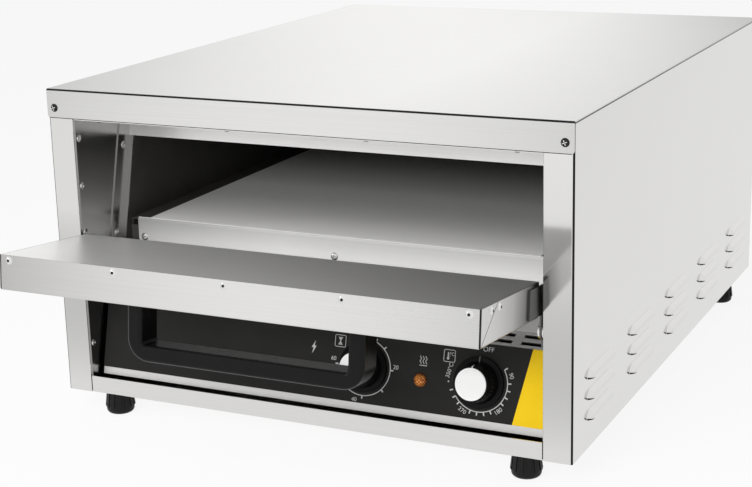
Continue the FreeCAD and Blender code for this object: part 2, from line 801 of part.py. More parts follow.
back = box(half_span("chamber_half"), ("chamber_depth", LENGTHWISE), CHAMBER_Z)
node("chamber_back", cut(back, *rear_holes_of_chamber(("chamber_depth - skin", "chamber_depth + 2 * skin"))),
     "casing")
STAND_Y = ("stand_y", "stand_y + stand_flange")
node("chamber_stand", join(
    box(half_span("stand_half"), ("stand_y", "stand_y + skin"), ("skin", "chamber_floor - skin")),
    box(half_span("stand_half"), STAND_Y, ("skin", "2 * skin")),
    box(half_span("stand_half"), STAND_Y, ("chamber_floor - 2 * skin", "chamber_floor - skin")),
), "casing")

# Baking deck: a plate folded down into its front lip, screwed to a cross bar, on two ledges
deck = join(
    box(half_span("deck_half"), ("deck_front", "deck_back"), (DECK_UNDER, "deck_top")),
    box(half_span("lip_half"), ("deck_front", "deck_front + deck_thickness"),
        ("deck_top - lip_height", "deck_top")),
)
deck_bent = rounded(deck, "deck_bend", lambda edge, at: (
    along(edge, X_AXIS) and near(at.y, "deck_front") and near(at.z, "deck_top")))
LIP_SCREWS = ("-lip_screw_x", "0", "lip_screw_x")
LIP_SCREW_Z = "(deck_top - lip_screw_drop)"
BAR_FRONT = "(deck_front + deck_thickness)"
lip_holes = [rod("y", (x, LIP_SCREW_Z), ("deck_front - skin", f"{BAR_FRONT} + skin"), SCREW_HOLE)
             for x in LIP_SCREWS]
bar_holes = [rod("y", (x, LIP_SCREW_Z), ("deck_front", f"{BAR_FRONT} + 2 * skin"), SCREW_HOLE)
             for x in LIP_SCREWS]
casing_screws += [copy_of(screw, "-y", x, "deck_front", LIP_SCREW_Z) for x in LIP_SCREWS]
node("deck_plate", cut(deck_bent, *lip_holes), "casing")
bar = box(half_span("chamber_half"), (BAR_FRONT, f"{BAR_FRONT} + skin"),
          ("chamber_floor", f"{DECK_UNDER} - bar_drop"))
node("deck_bar", cut(bar, *bar_holes), "casing")
ledges = []
for side in SIDES:
    reach = (f"{BAR_FRONT} + 2 * skin", "deck_back")
    ledges.append(join(
        box(on_side(side, "deck_half - ledge_overlap", "chamber_half"), reach,
            (f"{DECK_UNDER} - skin", DECK_UNDER)),
        box(on_side(side, "chamber_half - skin", "chamber_half"), reach,
            (f"{DECK_UNDER} - ledge_drop", DECK_UNDER)),
    ))
node("deck_ledges", group(*ledges), "casing")


def bend_of_element(x, y, z, turn):
    """Half a ring that joins two runs of a heating element."""
    ring = doc.addObject("Part::Torus", "Bend")
    ring.Placement = Placement(Vector(), Rotation(Vector(0, 0, 1), turn))
    ring.Angle3 = 2 * QUARTER
    bind(ring, {"Radius1": "element_pitch / 2", "Radius2": "element_radius"})
    return put(ring, x, y, z)


# Tubular heating elements: six runs and five bends, both ends through the chamber's back
for label, z in (("upper_element", UPPER_Z), ("lower_element", LOWER_Z)):
    tubes = []
    for step, x in enumerate(RUNS):
        end = "element_end" if x in TERMINALS else "element_back"
        tubes.append(rod("y", (x, z), ("element_front", end), "element_radius"))
    for step in range(len(RUNS) - 1):
        middle = f"{step - 2} * element_pitch"
        if step % 2 == 0:
            tubes.append(bend_of_element(middle, "element_front", z, 2 * QUARTER))
        else:
            tubes.append(bend_of_element(middle, "element_back", z, 0))
    node(label, join(*tubes), "casing")
clips = []
for x in (RUNS[1], RUNS[4]):
    for y in ("element_front + clip_inset", "element_back - clip_inset"):
        for z, span in ((UPPER_Z, (f"{UPPER_Z} - clip_width / 2", "chamber_ceiling")),
                        (LOWER_Z, ("chamber_floor", f"{LOWER_Z} + clip_width / 2"))):
            tab = box((f"{x} - clip_width / 2", f"{x} + clip_width / 2"), (y, f"{y} + clip_thickness"), span)
            clips.append(cut(tab, rod("y", (x, z), (f"{y} - skin", f"{y} + clip_thickness + skin"),
                                      "element_radius + fit_gap")))
node("element_clips", group(*clips), "casing")

# Mineral wool slabs around the chamber
node("top_insulation", group(box(
    WIDE, ("wool_front", "wool_back"), (CEILING_TOP, "casing_height - 2 * skin - cover_air"))), "casing")
node("side_insulation", group(*[box(
    on_side(side, "chamber_half + skin", "chamber_half + skin + side_insulation"),
    ("wool_front", "wool_back"), CHAMBER_Z) for side in SIDES]), "casing")
rear_wool = box(half_span("chamber_half"), (LENGTHWISE, "wool_back"), CHAMBER_Z)
node("rear_insulation", cut(rear_wool, *rear_holes_of_chamber(
    ("chamber_depth", "wool_back + skin"))), "casing")

# Control bracket: a leaning plate with a vented shelf above and a flange below
SHELF_SLOPE = "((shelf_end - panel_top) / (frame_depth - fascia))"
SHELF_THICK = f"(skin * sqrt(1 + {SHELF_SLOPE} ^ 2))"
bracket = prism("YZ_Plane", [
    ("fascia", "0"),
    ("fascia", "panel_top"),
    ("frame_depth", "shelf_end"),
    ("frame_depth", f"shelf_end - {SHELF_THICK}"),
    (PANEL_BACK, f"panel_top + skin * {SHELF_SLOPE} - {SHELF_THICK}"),
    (PANEL_BACK, "skin"),
    ("fascia + panel_flange", "skin"),
    ("fascia + panel_flange", "0"),
], f"2 * {DOOR_HALF}")
SHELF_BAND = ("panel_top - overrun", "shelf_end + overrun")
shelf_slots = []
for row in range(2):
    middle = f"(shelf_slot_front + {row} * shelf_slot_row_pitch)"
    depth = (f"{middle} - shelf_slot_width / 2", f"{middle} + shelf_slot_width / 2")
    for column in range(5):
        start = f"({column} * shelf_slot_pitch + shelf_slot_bridge / 2)"
        end = f"({column + 1} * shelf_slot_pitch - shelf_slot_bridge / 2)"
        if column == 4:
            end = f"({DOOR_HALF} - shelf_slot_edge)"
        shelf_slots += [box(on_side(side, start, end), depth, SHELF_BAND) for side in SIDES]
THROUGH = ("-skin", f"{PANEL_BACK} + skin")
DIALS = {"timer": "timer_x", "thermostat": "thermostat_x"}


def panel_holes():
    holes = [rod("y", (x, "dial_height"), THROUGH, "shaft_hole") for x in DIALS.values()]
    return holes + [rod("y", ("lamp_x", "lamp_height"), THROUGH, "lamp_barrel + fit_gap")]


node("control_bracket", cut(bracket, *shelf_slots, *panel_holes()), "panel")
fascia = box(half_span(DOOR_HALF), ("0", "fascia"), ("fascia_low", "panel_top"))
node("control_fascia", cut(fascia, *panel_holes()), "panel")

# Timer and thermostat behind the panel, each turned by a shaft and a knob with a cap
for name, x in DIALS.items():
    size = f"{name}_box / 2"
    case = box(half_span(size), (PANEL_BACK, f"{PANEL_BACK} + {name}_deep"), half_span(size))
    bore = rod("y", ("0", "0"), ("0", f"{PANEL_BACK} + shaft_in"), "shaft_radius + shaft_play")
    node(f"{name}_body", cut(case, bore), "panel", x, "0", "dial_height")
    shaft = rod("y", ("0", "0"), ("-shaft_out", f"{PANEL_BACK} + shaft_in - fit_gap"), "shaft_radius")
    node(f"{name}_shaft", group(shaft), "panel", x, "0", "dial_height")
    SKIRT_FACE = "-(knob_gap + skirt_height)"
    BORE_WALL = "shaft_radius + shaft_play"
    moulding = turned("XY_Plane", [
        (BORE_WALL, "-knob_gap"),
        ("skirt_radius", "-knob_gap"),
        ("skirt_radius", SKIRT_FACE),
        ("grip_base", SKIRT_FACE),
        ("grip_top", "-knob_height"),
        ("0", "-knob_height"),
        ("0", "-(shaft_out + fit_gap)"),
        (BORE_WALL, "-(shaft_out + fit_gap)"),
    ])
    pointer = box(half_span("pointer_width / 2"), (f"{SKIRT_FACE} - pointer_rise", SKIRT_FACE),
                  ("grip_base - pointer_inset", "skirt_radius - pointer_inset"))
    node(f"{name}_knob", join(moulding, pointer), "panel", x, "0", "dial_height")
    cap = rod("y", ("0", "0"), ("-(knob_height + cap_height)", "-knob_height"), "cap_radius")
    node(f"{name}_knob_cap", group(cap), "panel", x, "0", "dial_height")

# Indicator lamp: a domed lens in the fascia and the lamp's body behind it
lens_dome = copy_of(group(dome("lens_radius", "lens_rise")), "-y", "0", "0", "0")
barrel = rod("y", ("0", "0"), ("0", PANEL_BACK), "lamp_barrel")
node("lamp_lens", join(lens_dome, barrel), "panel", "lamp_x", "0", "lamp_height")
lamp = rod("y", ("0", "0"), (PANEL_BACK, f"{PANEL_BACK} + lamp_deep"), "lamp_radius")
node("lamp_body", group(lamp), "panel", "lamp_x", "0", "lamp_height")

# Thermostat capillary along the base and up behind the chamber to its bulb
START_DEPTH = f"({PANEL_BACK} + thermostat_deep / 2)"
START_Y = f"(panel_set_back + {START_DEPTH} * cos(lean) + dial_height * sin(lean))"
START_Z = f"(panel_bottom - {START_DEPTH} * sin(lean) + dial_height * cos(lean))"


def bend_of_capillary(turn, x, y, z):
    """A quarter ring between two runs; the turn carries the ring from its first plane."""
    ring = doc.addObject("Part::Torus", "Bend")
    ring.Placement = Placement(Vector(), turn)
    ring.Angle3 = QUARTER
    bind(ring, {"Radius1": "capillary_bend", "Radius2": "capillary_radius"})
    return put(ring, x, y, z)


ON_EDGE = Rotation(Y_AXIS, -QUARTER)
LOW_BEND = f"({START_Z} + capillary_bend)"
REAR_BEND = "(capillary_y - capillary_bend)"
TOP_BEND = "(bulb_z - capillary_bend)"
BULB_BACK = "(chamber_depth - skin)"
node("thermostat_bulb", join(
    rod("x", (START_Y, START_Z), ("thermostat_x + thermostat_box / 2", "capillary_x - capillary_bend"),
        "capillary_radius"),
    bend_of_capillary(Rotation(Vector(0, 0, 1), -QUARTER), "capillary_x - capillary_bend",
                      f"{START_Y} + capillary_bend", START_Z),
    rod("y", ("capillary_x", START_Z), (f"{START_Y} + capillary_bend", REAR_BEND), "capillary_radius"),
    bend_of_capillary(ON_EDGE, "capillary_x", REAR_BEND, TOP_BEND),
    bend_of_capillary(ON_EDGE.multiply(Rotation(Vector(0, 0, 1), QUARTER)),
                      "capillary_x", REAR_BEND, LOW_BEND),
    rod("z", ("capillary_x", "capillary_y"), (LOW_BEND, TOP_BEND), "capillary_radius"),
    rod("y", ("capillary_x", "bulb_z"), (BULB_BACK, REAR_BEND), "capillary_radius"),
    rod("y", ("capillary_x", "bulb_z"), (f"{BULB_BACK} - bulb_length", BULB_BACK), "bulb_radius"),
), "casing")

# Supply: terminal block on the base, cable gland and its nut in the rear panel
block = box(("block_x", "block_x + block_length"), ("block_y", "block_y + block_width"),
            ("skin", "skin + block_height"))
block_holes = [rod("y", (f"block_x + block_length / 2 + {step} * block_hole_pitch",
                         "skin + block_height / 2"), ("block_y - skin", "block_y + block_width + skin"),
                   "block_hole") for step in (-1, 0, 1)]
node("terminal_block", cut(block, *block_holes), "casing")
GLAND_OUT = "(gland_reach + skin)"
gland = turned("XY_Plane", [
    ("gland_bore", "-gland_inside"),
    ("gland_barrel", "-gland_inside"),
    ("gland_barrel", "0"),
    ("gland_flange", "0"),
    ("gland_flange", "gland_flange_height"),
    ("gland_dome", "gland_flange_height"),
    ("gland_dome", f"{GLAND_OUT} - gland_taper"),
    ("gland_mouth", GLAND_OUT),
    ("gland_bore", GLAND_OUT),
])
node("cable_gland", gland, "casing", "gland_x", "casing_depth - skin", "gland_z")
hexagon = doc.addObject("Part::Prism", "Hexagon")
hexagon.Polygon = 6
hexagon.Placement = Placement(Vector(), TURNS["+y"])
bind(hexagon, {"Circumradius": "gland_nut", "Height": "gland_nut_height"})
put(hexagon, "0", "-(skin + gland_nut_height)", "0")
nut_bore = rod("y", ("0", "0"), ("-gland_inside", "0"), "gland_barrel + fit_gap")
node("gland_nut", cut(hexagon, nut_bore), "casing", "gland_x", "casing_depth - skin", "gland_z")
node("casing_screws", group(*casing_screws), "casing")

# Door: a folded outer shell, a flanged inner panel and a slab of wool between them
SHELL_Z = ("hinge_lift", "door_high")
shell_block = box(half_span(DOOR_HALF), ("door_outer", "door_inner"), SHELL_Z)
shell_bent = rounded(shell_block, "bend", lambda edge, at: near(at.y, "door_outer"))
shell_hollow = box(half_span(f"{DOOR_HALF} - skin"), ("door_outer + skin", "door_inner + overrun"),
                   ("hinge_lift + skin", "door_high - skin"))
EDGE = "(skin + fit_gap)"
inner_block = box(half_span(f"{DOOR_HALF} - {EDGE}"), ("door_inner - inner_flange", "door_inner"),
                  (f"hinge_lift + {EDGE}", f"door_high - {EDGE}"))
inner_hollow = box(half_span(f"{DOOR_HALF} - {EDGE} - skin"),
                   ("door_inner - inner_flange - overrun", "door_inner - skin"),
                   (f"hinge_lift + {EDGE} + skin", f"door_high - ({EDGE} + skin)"))
RIVET_Y = "(door_inner - door_rivet_inset)"
shell_holes = []
inner_holes = []
for step in range(-2, 3):
    x = f"{step} * door_rivet_pitch"
    span = ("door_high - 3 * skin", "door_high + skin")
    shell_holes.append(rod("z", (x, RIVET_Y), span, RIVET_HOLE))
    inner_holes.append(rod("z", (x, RIVET_Y), span, RIVET_HOLE))
    door_rivets.append(copy_of(rivet, "+z", x, RIVET_Y, "door_high"))
END_RIVETS = [f"(door_high - end_rivet_first - {step} * end_rivet_pitch)" for step in range(2)]
ARM_X = f"({DOOR_HALF} + arm_thickness)"
for side in SIDES:
    span = on_side(side, f"{DOOR_HALF} - 3 * skin", f"{DOOR_HALF} + skin")
    for z in END_RIVETS:
        shell_holes.append(rod("x", (RIVET_Y, z), span, RIVET_HOLE))
        inner_holes.append(rod("x", (RIVET_Y, z), span, RIVET_HOLE))
        door_rivets.append(copy_of(rivet, outward(side), sided(side, DOOR_HALF), RIVET_Y, z))

# Moulded handle on two legs, screwed on from inside the outer shell
GRIP_OUT = "(door_outer - handle_reach)"
GRIP_IN = f"({GRIP_OUT} + handle_bar)"
LEG_IN = "(handle_half - handle_leg)"
HANDLE_LOW = "(door_high - handle_drop - handle_depth)"
bow = prism("XY_Plane", [
    ("-handle_half", "door_outer"),
    ("-handle_half", GRIP_OUT),
    ("handle_half", GRIP_OUT),
    ("handle_half", "door_outer"),
    (LEG_IN, "door_outer"),
    (LEG_IN, GRIP_IN),
    (f"-{LEG_IN}", GRIP_IN),
    (f"-{LEG_IN}", "door_outer"),
], "handle_depth")
bow_cornered = rounded(bow, "handle_corner", lambda edge, at: (
    along(edge, Vector(0, 0, 1)) and near(abs(at.x), "handle_half") and near(at.y, GRIP_OUT)))
bow_curved = rounded(bow_cornered, "handle_inner_corner", lambda edge, at: (
    along(edge, Vector(0, 0, 1)) and near(abs(at.x), LEG_IN) and near(at.y, GRIP_IN)))
bow_smooth = rounded(bow_curved, "handle_edge", lambda edge, at: (
    near(abs(at.z), "handle_depth / 2") and not near(at.y, "door_outer")))
LEG_X = "(handle_half - handle_leg / 2)"
HANDLE_Z = f"({HANDLE_LOW} + handle_depth / 2)"
HEAD_Y = "(door_outer + skin)"
handle_holes = []
handle_screws = []
wool_pockets = []
for side in SIDES:
    x = sided(side, LEG_X)
    handle_holes.append(rod("y", (x, "0"), (f"{HEAD_Y} - handle_screw_length - fit_gap", HEAD_Y), SCREW_HOLE))
    shell_holes.append(rod("y", (x, HANDLE_Z), ("door_outer - skin", f"{HEAD_Y} + skin"), SCREW_HOLE))
    handle_screws.append(join(
        rod("y", (x, HANDLE_Z), (f"{HEAD_Y} - handle_screw_length", HEAD_Y), "screw_radius"),
        rod("y", (x, HANDLE_Z), (HEAD_Y, f"{HEAD_Y} + handle_screw_head_height"), "handle_screw_head"),
    ))
    wool_pockets.append(rod(
        "y", (x, HANDLE_Z), (f"{HEAD_Y} - skin", f"{HEAD_Y} + handle_screw_head_height + fit_gap"),
        "handle_screw_head + fit_gap"))
node("door_outer_shell", cut(shell_bent, shell_hollow, *shell_holes), "door")
node("door_inner_panel", cut(inner_block, inner_hollow, *inner_holes), "door")
WOOL_EDGE = "(rivet_length + fit_gap)"
wool = box(half_span(f"{DOOR_HALF} - {WOOL_EDGE}"), (HEAD_Y, "door_inner - skin"),
           (f"hinge_lift + {WOOL_EDGE}", f"door_high - {WOOL_EDGE}"))
node("door_insulation", cut(wool, *wool_pockets), "door")
node("door_handle", cut(bow_smooth, *handle_holes), "door", "0", "0", HANDLE_Z)
node("handle_screws", group(*handle_screws), "door")
node("door_rivets", group(*door_rivets), "door")

# Hinge: arms welded to the door's ends, pins and bushes in the jambs, stop pins behind the arms' heels
arms = []
pins = []
bushes = []
stops = []
ARM_SPAN = (DOOR_HALF, ARM_X)
CUT_SPAN = (f"{DOOR_HALF} - skin", f"{ARM_X} + skin")
for side in SIDES:
    arm = join(
        rod("x", ("0", "0"), on_side(side, *ARM_SPAN), "arm_hub"),
        box(on_side(side, *ARM_SPAN), ("-arm_heel", "0"), ("-arm_heel_width / 2", "arm_heel_width / 2")),
        box(on_side(side, *ARM_SPAN), ("0", "arm_rise"), ("-arm_neck", "arm_hub")),
        box(on_side(side, *ARM_SPAN), ("arm_foot_low", "arm_foot_deep"), ("0", "arm_foot_high")),
    )
    arms.append(cut(arm, rod("x", ("0", "0"), on_side(side, *CUT_SPAN), "pin_radius + pin_play")))
    pins.append(join(
        rod("x", ("0", "0"), on_side(side, f"{DOOR_HALF} - fit_gap", f"{POST_X} + skin"), "pin_radius"),
        rod("x", ("0", "0"),
            on_side(side, f"{DOOR_HALF} - fit_gap - pin_head_height", f"{DOOR_HALF} - fit_gap"), "pin_head"),
        rod("x", ("0", "0"),
            on_side(side, f"{POST_X} + skin", f"{POST_X} + skin + pin_head_height"), "pin_head"),
    ))
    BUSH = on_side(side, f"{ARM_X} + fit_gap", JAMB_X)
    bushes.append(cut(
        rod("x", ("0", "0"), BUSH, "bush_radius"),
        rod("x", ("0", "0"), on_side(side, DOOR_HALF, POST_X), "pin_radius + fit_gap"),
    ))
    stops.append(rod("x", ("-stop_drop", f"-{STOP_BACK}"),
                     on_side(side, f"{DOOR_HALF} + fit_gap", POST_X), "stop_radius"))
node("hinge_arms", group(*arms), "door")
node("hinge_pins", group(*pins), "door")
node("hinge_bushes", group(*bushes), "door")
node("stop_pins", group(*stops), "door")

# Every piece is sound before any file is written.
doc.recompute()
failed = [item.Label for item in doc.Objects if "Invalid" in item.State or "Error" in item.State]
failed += [item.Label for item in nodes if item.Shape.isNull() or not item.Shape.isValid()]
if failed:
    raise RuntimeError("unsound pieces: " + ", ".join(failed))
os.makedirs("parts", exist_ok=True)
for item in nodes:
    item.Shape.exportStep(f"parts/{item.Label}.step")
print(len(nodes), "pieces written")
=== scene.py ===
import math

import bmesh
import bpy
from mathutils import Matrix, Vector


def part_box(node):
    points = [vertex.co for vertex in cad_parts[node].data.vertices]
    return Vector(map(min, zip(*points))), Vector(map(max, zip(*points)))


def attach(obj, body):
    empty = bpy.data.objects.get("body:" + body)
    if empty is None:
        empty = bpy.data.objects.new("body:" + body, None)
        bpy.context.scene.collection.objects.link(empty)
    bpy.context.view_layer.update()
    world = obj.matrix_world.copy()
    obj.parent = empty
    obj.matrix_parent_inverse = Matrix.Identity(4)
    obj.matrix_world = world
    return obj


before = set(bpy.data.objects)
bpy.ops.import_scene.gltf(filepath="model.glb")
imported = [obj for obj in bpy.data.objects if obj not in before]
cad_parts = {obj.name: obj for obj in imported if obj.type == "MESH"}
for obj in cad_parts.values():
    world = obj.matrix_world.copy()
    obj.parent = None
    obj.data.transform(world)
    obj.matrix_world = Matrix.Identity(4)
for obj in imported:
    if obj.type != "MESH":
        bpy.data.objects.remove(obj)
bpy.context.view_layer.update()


# Feet: black rubber mouldings with upright ribs, each held to the base pan by a screw in its recess.
# The moulding has a fine matt grain and picks up a little dust.
class Value:
    """A socket in a material; sums and products of it add Math nodes."""

    def __init__(self, tree, socket=None):
        self.tree = tree
        self.socket = socket

    def node(self, kind, settings, sockets, result=0):
        made = self.tree.nodes.new(kind)
        for name, setting in settings.items():
            setattr(made, name, setting)
        for name, value in sockets.items():
            if isinstance(value, Value):
                self.tree.links.new(value.socket, made.inputs[name])
            else:
                made.inputs[name].default_value = value
        return Value(self.tree, made.outputs[result])

    def maths(self, operation, first, second):
        return self.node("ShaderNodeMath", {"operation": operation}, {0: first, 1: second})

    def __add__(self, other):
        return self.maths("ADD", self, other)

    def __radd__(self, other):
        return self.maths("ADD", other, self)

    def __sub__(self, other):
        return self.maths("SUBTRACT", self, other)

    def __rsub__(self, other):
        return self.maths("SUBTRACT", other, self)

    def __mul__(self, other):
        return self.maths("MULTIPLY", self, other)

    def __rmul__(self, other):
        return self.maths("MULTIPLY", other, self)

    def __gt__(self, other):
        return self.maths("GREATER_THAN", self, other)

    def __lt__(self, other):
        return self.maths("LESS_THAN", self, other)

    def __abs__(self):
        return self.maths("ABSOLUTE", self, 0)

    def at_least(self, other):
        """The larger of two values; of two masks, both together."""
        return self.maths("MAXIMUM", self, other)

    def at_most(self, other):
        return self.maths("MINIMUM", self, other)

    def wrapped(self, pitch):
        """The value's place within steps of one pitch."""
        return self.maths("FLOORED_MODULO", self, pitch)

    def noise(self, scale, detail=2.0):
        """Grain whose size along each axis is one over that axis's scale."""
        spread = self.node("ShaderNodeMapping", {}, {"Vector": self, "Scale": scale})
        return self.node("ShaderNodeTexNoise", {}, {"Vector": spread, "Scale": 1.0, "Detail": detail})

    def bump(self, height, strength, distance):
        sockets = {"Height": height, "Strength": strength, "Distance": distance}
        return self.node("ShaderNodeBump", {}, sockets)

    def axes(self):
        return [self.node("ShaderNodeSeparateXYZ", {}, {0: self}, place) for place in range(3)]

    def blend(self, low, high):
        """A colour between two, by this value."""
        return self.node("ShaderNodeMix", {"data_type": "RGBA"}, {0: self, 6: low, 7: high}, 2)


def finish_named(name, fixed):
    """A new material, its object coordinates and a call that links or sets the shader's sockets."""
    material = bpy.data.materials.new(name)
    material.use_nodes = True
    tree = material.node_tree
    shader = tree.nodes["Principled BSDF"]
    for socket, amount in fixed.items():
        shader.inputs[socket].default_value = amount
    place = Value(tree).node("ShaderNodeTexCoord", {}, {}, "Object")

    def give(**links):
        for socket, value in links.items():
            tree.links.new(value.socket, shader.inputs[socket.replace("_", " ")])

    return material, place, give


def dress(material, *names):
    for name in names:
        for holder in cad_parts[name].material_slots:
            holder.material = material


CLOUDS = (40.0, 40.0, 40.0)
CLOUD_GLOSS = 0.12
PORE_HEIGHT, PORE_STRENGTH = 0.00006, 0.35


def moulded(name, dark, pale, rough, grain=2600.0, shine=0.5):
    """A moulded surface: fine grain in its bump, broad changes of tone and gloss."""
    material, place, give = finish_named(name, {"Specular IOR Level": shine})
    cloud = place.noise(CLOUDS)
    pores = place.noise((grain, grain, grain))
    give(
        Base_Color=cloud.blend(dark, pale),
        Roughness=rough - CLOUD_GLOSS / 2 + CLOUD_GLOSS * cloud,
        Normal=place.bump(pores, PORE_STRENGTH, PORE_HEIGHT),
    )
    return material


def middle(name):
    low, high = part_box(name)
    return (low + high) / 2


def piece(name, shape, material, body):
    """A finished mesh as an object at the origin that rides on a body."""
    mesh = bpy.data.meshes.new(name)
    shape.to_mesh(mesh)
    shape.free()
    mesh.materials.append(material)
    made = bpy.data.objects.new(name, mesh)
    bpy.context.scene.collection.objects.link(made)
    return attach(made, body)


FEET = ("front_left_foot", "front_right_foot", "rear_left_foot", "rear_right_foot")
foot_rubber = moulded("foot_rubber", (0.004, 0.004, 0.004, 1), (0.009, 0.009, 0.009, 1), 0.46, shine=0.2)
dress(foot_rubber, *FEET)
RIB_COUNT = 12
RIB_DEEP, RIB_WIDE, RIB_LONG = 0.0012, 0.0040, 0.0135
RIB_LEVEL, RIB_REACH = 0.0130, 0.01195
RIB_TAPER = math.atan(1.7 / 13)
RIB_ROUND = 0.0003
ribs = bmesh.new()
for foot in FEET:
    for step in range(RIB_COUNT):
        turn = step * math.tau / RIB_COUNT
        rib = bmesh.ops.create_cube(ribs, size=1)["verts"]
        bmesh.ops.scale(ribs, vec=(RIB_DEEP, RIB_WIDE, RIB_LONG), verts=rib)
        bmesh.ops.rotate(ribs, matrix=Matrix.Rotation(-RIB_TAPER, 3, "Y"), verts=rib)
        bmesh.ops.translate(ribs, vec=(RIB_REACH, 0, RIB_LEVEL), verts=rib)
        bmesh.ops.rotate(ribs, matrix=Matrix.Rotation(turn, 3, "Z"), verts=rib)
        bmesh.ops.translate(ribs, vec=(middle(foot).x, middle(foot).y, 0), verts=rib)
bmesh.ops.bevel(
    ribs, geom=ribs.edges[:], offset=RIB_ROUND, segments=2, profile=0.5, affect="EDGES", material=-1)
piece("foot_ribs", ribs, foot_rubber, "casing")


# Base pan and rear panel: folded from brushed stainless sheet, the grain running across the oven.
# The rolling marks show as fine streaks in tone and gloss.
ACROSS = (5.0, 1500.0, 1500.0)
LENGTHWAYS = (1500.0, 5.0, 1500.0)
STEEL = (0.72, 0.715, 0.705)
STREAK_DETAIL = 4.0
STREAK_HEIGHT = 0.00003
STREAK_GLOSS, BROAD_GLOSS = 0.07, 0.05
BROAD_CLOUDS = (7.0, 7.0, 7.0)
# Painted shade colour that the fades blend towards, as a share of the tint.
PAINTED_SHADE_LEVEL = 0.3
# Colour of the painted shade lines in joints, folds and recesses.
PAINTED_SHADE_BLACK = (0.02, 0.02, 0.02, 1)


def brushed(name, tint, grain, rough=0.3, metal=1.0, shade_fade=None, shade_lines=None, contrast=0.07):
    """Brushed sheet: streaks along the grain; the fade paints shade, sheen and reflection over parts of it,
    and the lines are painted shade in its joints, folds and recesses.
    """
    material, place, give = finish_named(name, {"Metallic": metal})
    streaks = place.noise(grain, STREAK_DETAIL)
    broad = place.noise(BROAD_CLOUDS)
    dark = tuple((1 - contrast) * part for part in tint) + (1,)
    pale = tuple(min(1.0, (1 + contrast) * part) for part in tint) + (1,)
    colour = streaks.blend(dark, pale)
    if shade_fade:
        shade_colour = tuple(PAINTED_SHADE_LEVEL * part for part in tint) + (1,)
        colour = shade_fade(place).blend(colour, shade_colour)
    if shade_lines:
        colour = shade_lines(place).blend(colour, PAINTED_SHADE_BLACK)
    give(
        Base_Color=colour,
        Roughness=rough - BROAD_GLOSS + STREAK_GLOSS * streaks + BROAD_GLOSS * broad,
        Normal=place.bump(streaks, contrast, STREAK_HEIGHT),
    )
    return material


dress(brushed("pan_steel", STEEL, ACROSS), "base_pan")
dress(brushed("rear_steel", STEEL, ACROSS), "rear_panel")


# Side panels: brushed stainless, the grain running front to back, with louvres pressed out of the sheet.
# Painted shade darkens the joint along the top, where the cover lies on the panel's flange, the corner
# folds and the louvres' mouths.
PANEL_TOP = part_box("right_side_panel")[1].z
POST_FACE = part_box("right_side_panel")[0].y
JOINT_DEPTH = 0.0013
WALL_FACE, WALL_EDGE = 0.2385, 0.24
FOLD = 0.0015
LOUVRE_PITCH, LOUVRE_MIDDLE = 0.1175, 0.04986
LOUVRE_ROW, LOUVRE_FOOT = 0.0175, 0.046
MOUTH_HIGH, MOUTH_PROUD = 0.0032, 0.0002
MOUTH_ALONG, MOUTH_HALF = 0.0305, 0.0055
SLANT_START, SLANT_TOP, SLANT_FALL = 0.025, 0.0016, 0.22
POST_SHADE_LEVEL, POST_SHADE_MOST, POST_SHADE_FALL = 0.11, 0.36, 55


def panel_painted_shade(place):
    """Painted shade in the joint under the cover, in the corner folds and in the mouths of the louvres."""
    x, y, z = place.axes()
    under_cover = (z > PANEL_TOP - JOINT_DEPTH) * (abs(x) > WALL_FACE)
    corner = (abs(x) > WALL_EDGE - FOLD) * (y < POST_FACE + FOLD)
    along = (y - LOUVRE_MIDDLE + LOUVRE_PITCH / 2).wrapped(LOUVRE_PITCH)
    above = (z - LOUVRE_FOOT + LOUVRE_ROW / 2).wrapped(LOUVRE_ROW) - LOUVRE_ROW / 2
    on_louvre = (abs(above) < MOUTH_HIGH) * (abs(x) > WALL_EDGE + MOUTH_PROUD)
    mouth = (abs(along - MOUTH_ALONG) < MOUTH_HALF) * on_louvre
    slant = above < SLANT_TOP - SLANT_FALL * (along - SLANT_START)
    return under_cover.at_least(corner).at_least(mouth * slant)


def post_painted_reflection(place):
    """Painted reflection: the posts are darker beside and below the door than above it, most at the door's
    height.
    """
    x, y, z = place.axes()
    level = z - POST_SHADE_LEVEL
    return (y < POST_FACE + FOLD) * (POST_SHADE_MOST - POST_SHADE_FALL * (level * level)).at_least(0)


# The side steel takes the posts' painted reflection and the panels' painted shade lines.
side_steel = brushed("side_steel", (0.705, 0.70, 0.69), LENGTHWAYS, 0.09, shade_fade=post_painted_reflection,
                     shade_lines=panel_painted_shade, contrast=0.025)
dress(side_steel, "left_side_panel", "right_side_panel")


# Top cover: one sheet folded down at the front as the header, brushed across the oven.
# Two black screws hold the header to the posts.
COVER_LOW, COVER_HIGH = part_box("top_cover")
EDGE_SHADE = 0.0006
# Painted sheen on the top and painted shade towards the header's ends:
SHEEN_SLANT, SHEEN_MIDDLE, SHEEN_FALL = 0.55, 0.19, 3.4
RIGHT_START, RIGHT_FALL = 0.06, 1.5
HEADER_SHADE = 0.15


def cover_fold_shade(place):
    """Painted shade: a dark line in the fold between top and header, and along the header's lower edge."""
    x, y, z = place.axes()
    fold = (z > COVER_HIGH.z - FOLD) * (y < COVER_LOW.y + FOLD)
    lower_edge = (z < COVER_LOW.z + EDGE_SHADE) * (y < COVER_LOW.y + FOLD)
    return fold.at_least(lower_edge)


def cover_painted_sheen(place):
    """Painted sheen: it lies slantwise over the top, and painted shade darkens beside it and towards the
    header's ends.
    """
    x, y, z = place.axes()
    aside = x + SHEEN_SLANT * (y - COVER_LOW.y) - SHEEN_MIDDLE
    right = (x - RIGHT_START).at_least(0)
    on_top = z > COVER_HIGH.z - FOLD
    top = SHEEN_FALL * (aside * aside) + RIGHT_FALL * right
    header = HEADER_SHADE + SHEEN_FALL * (x * x)
    return on_top * top + (1 - on_top) * header


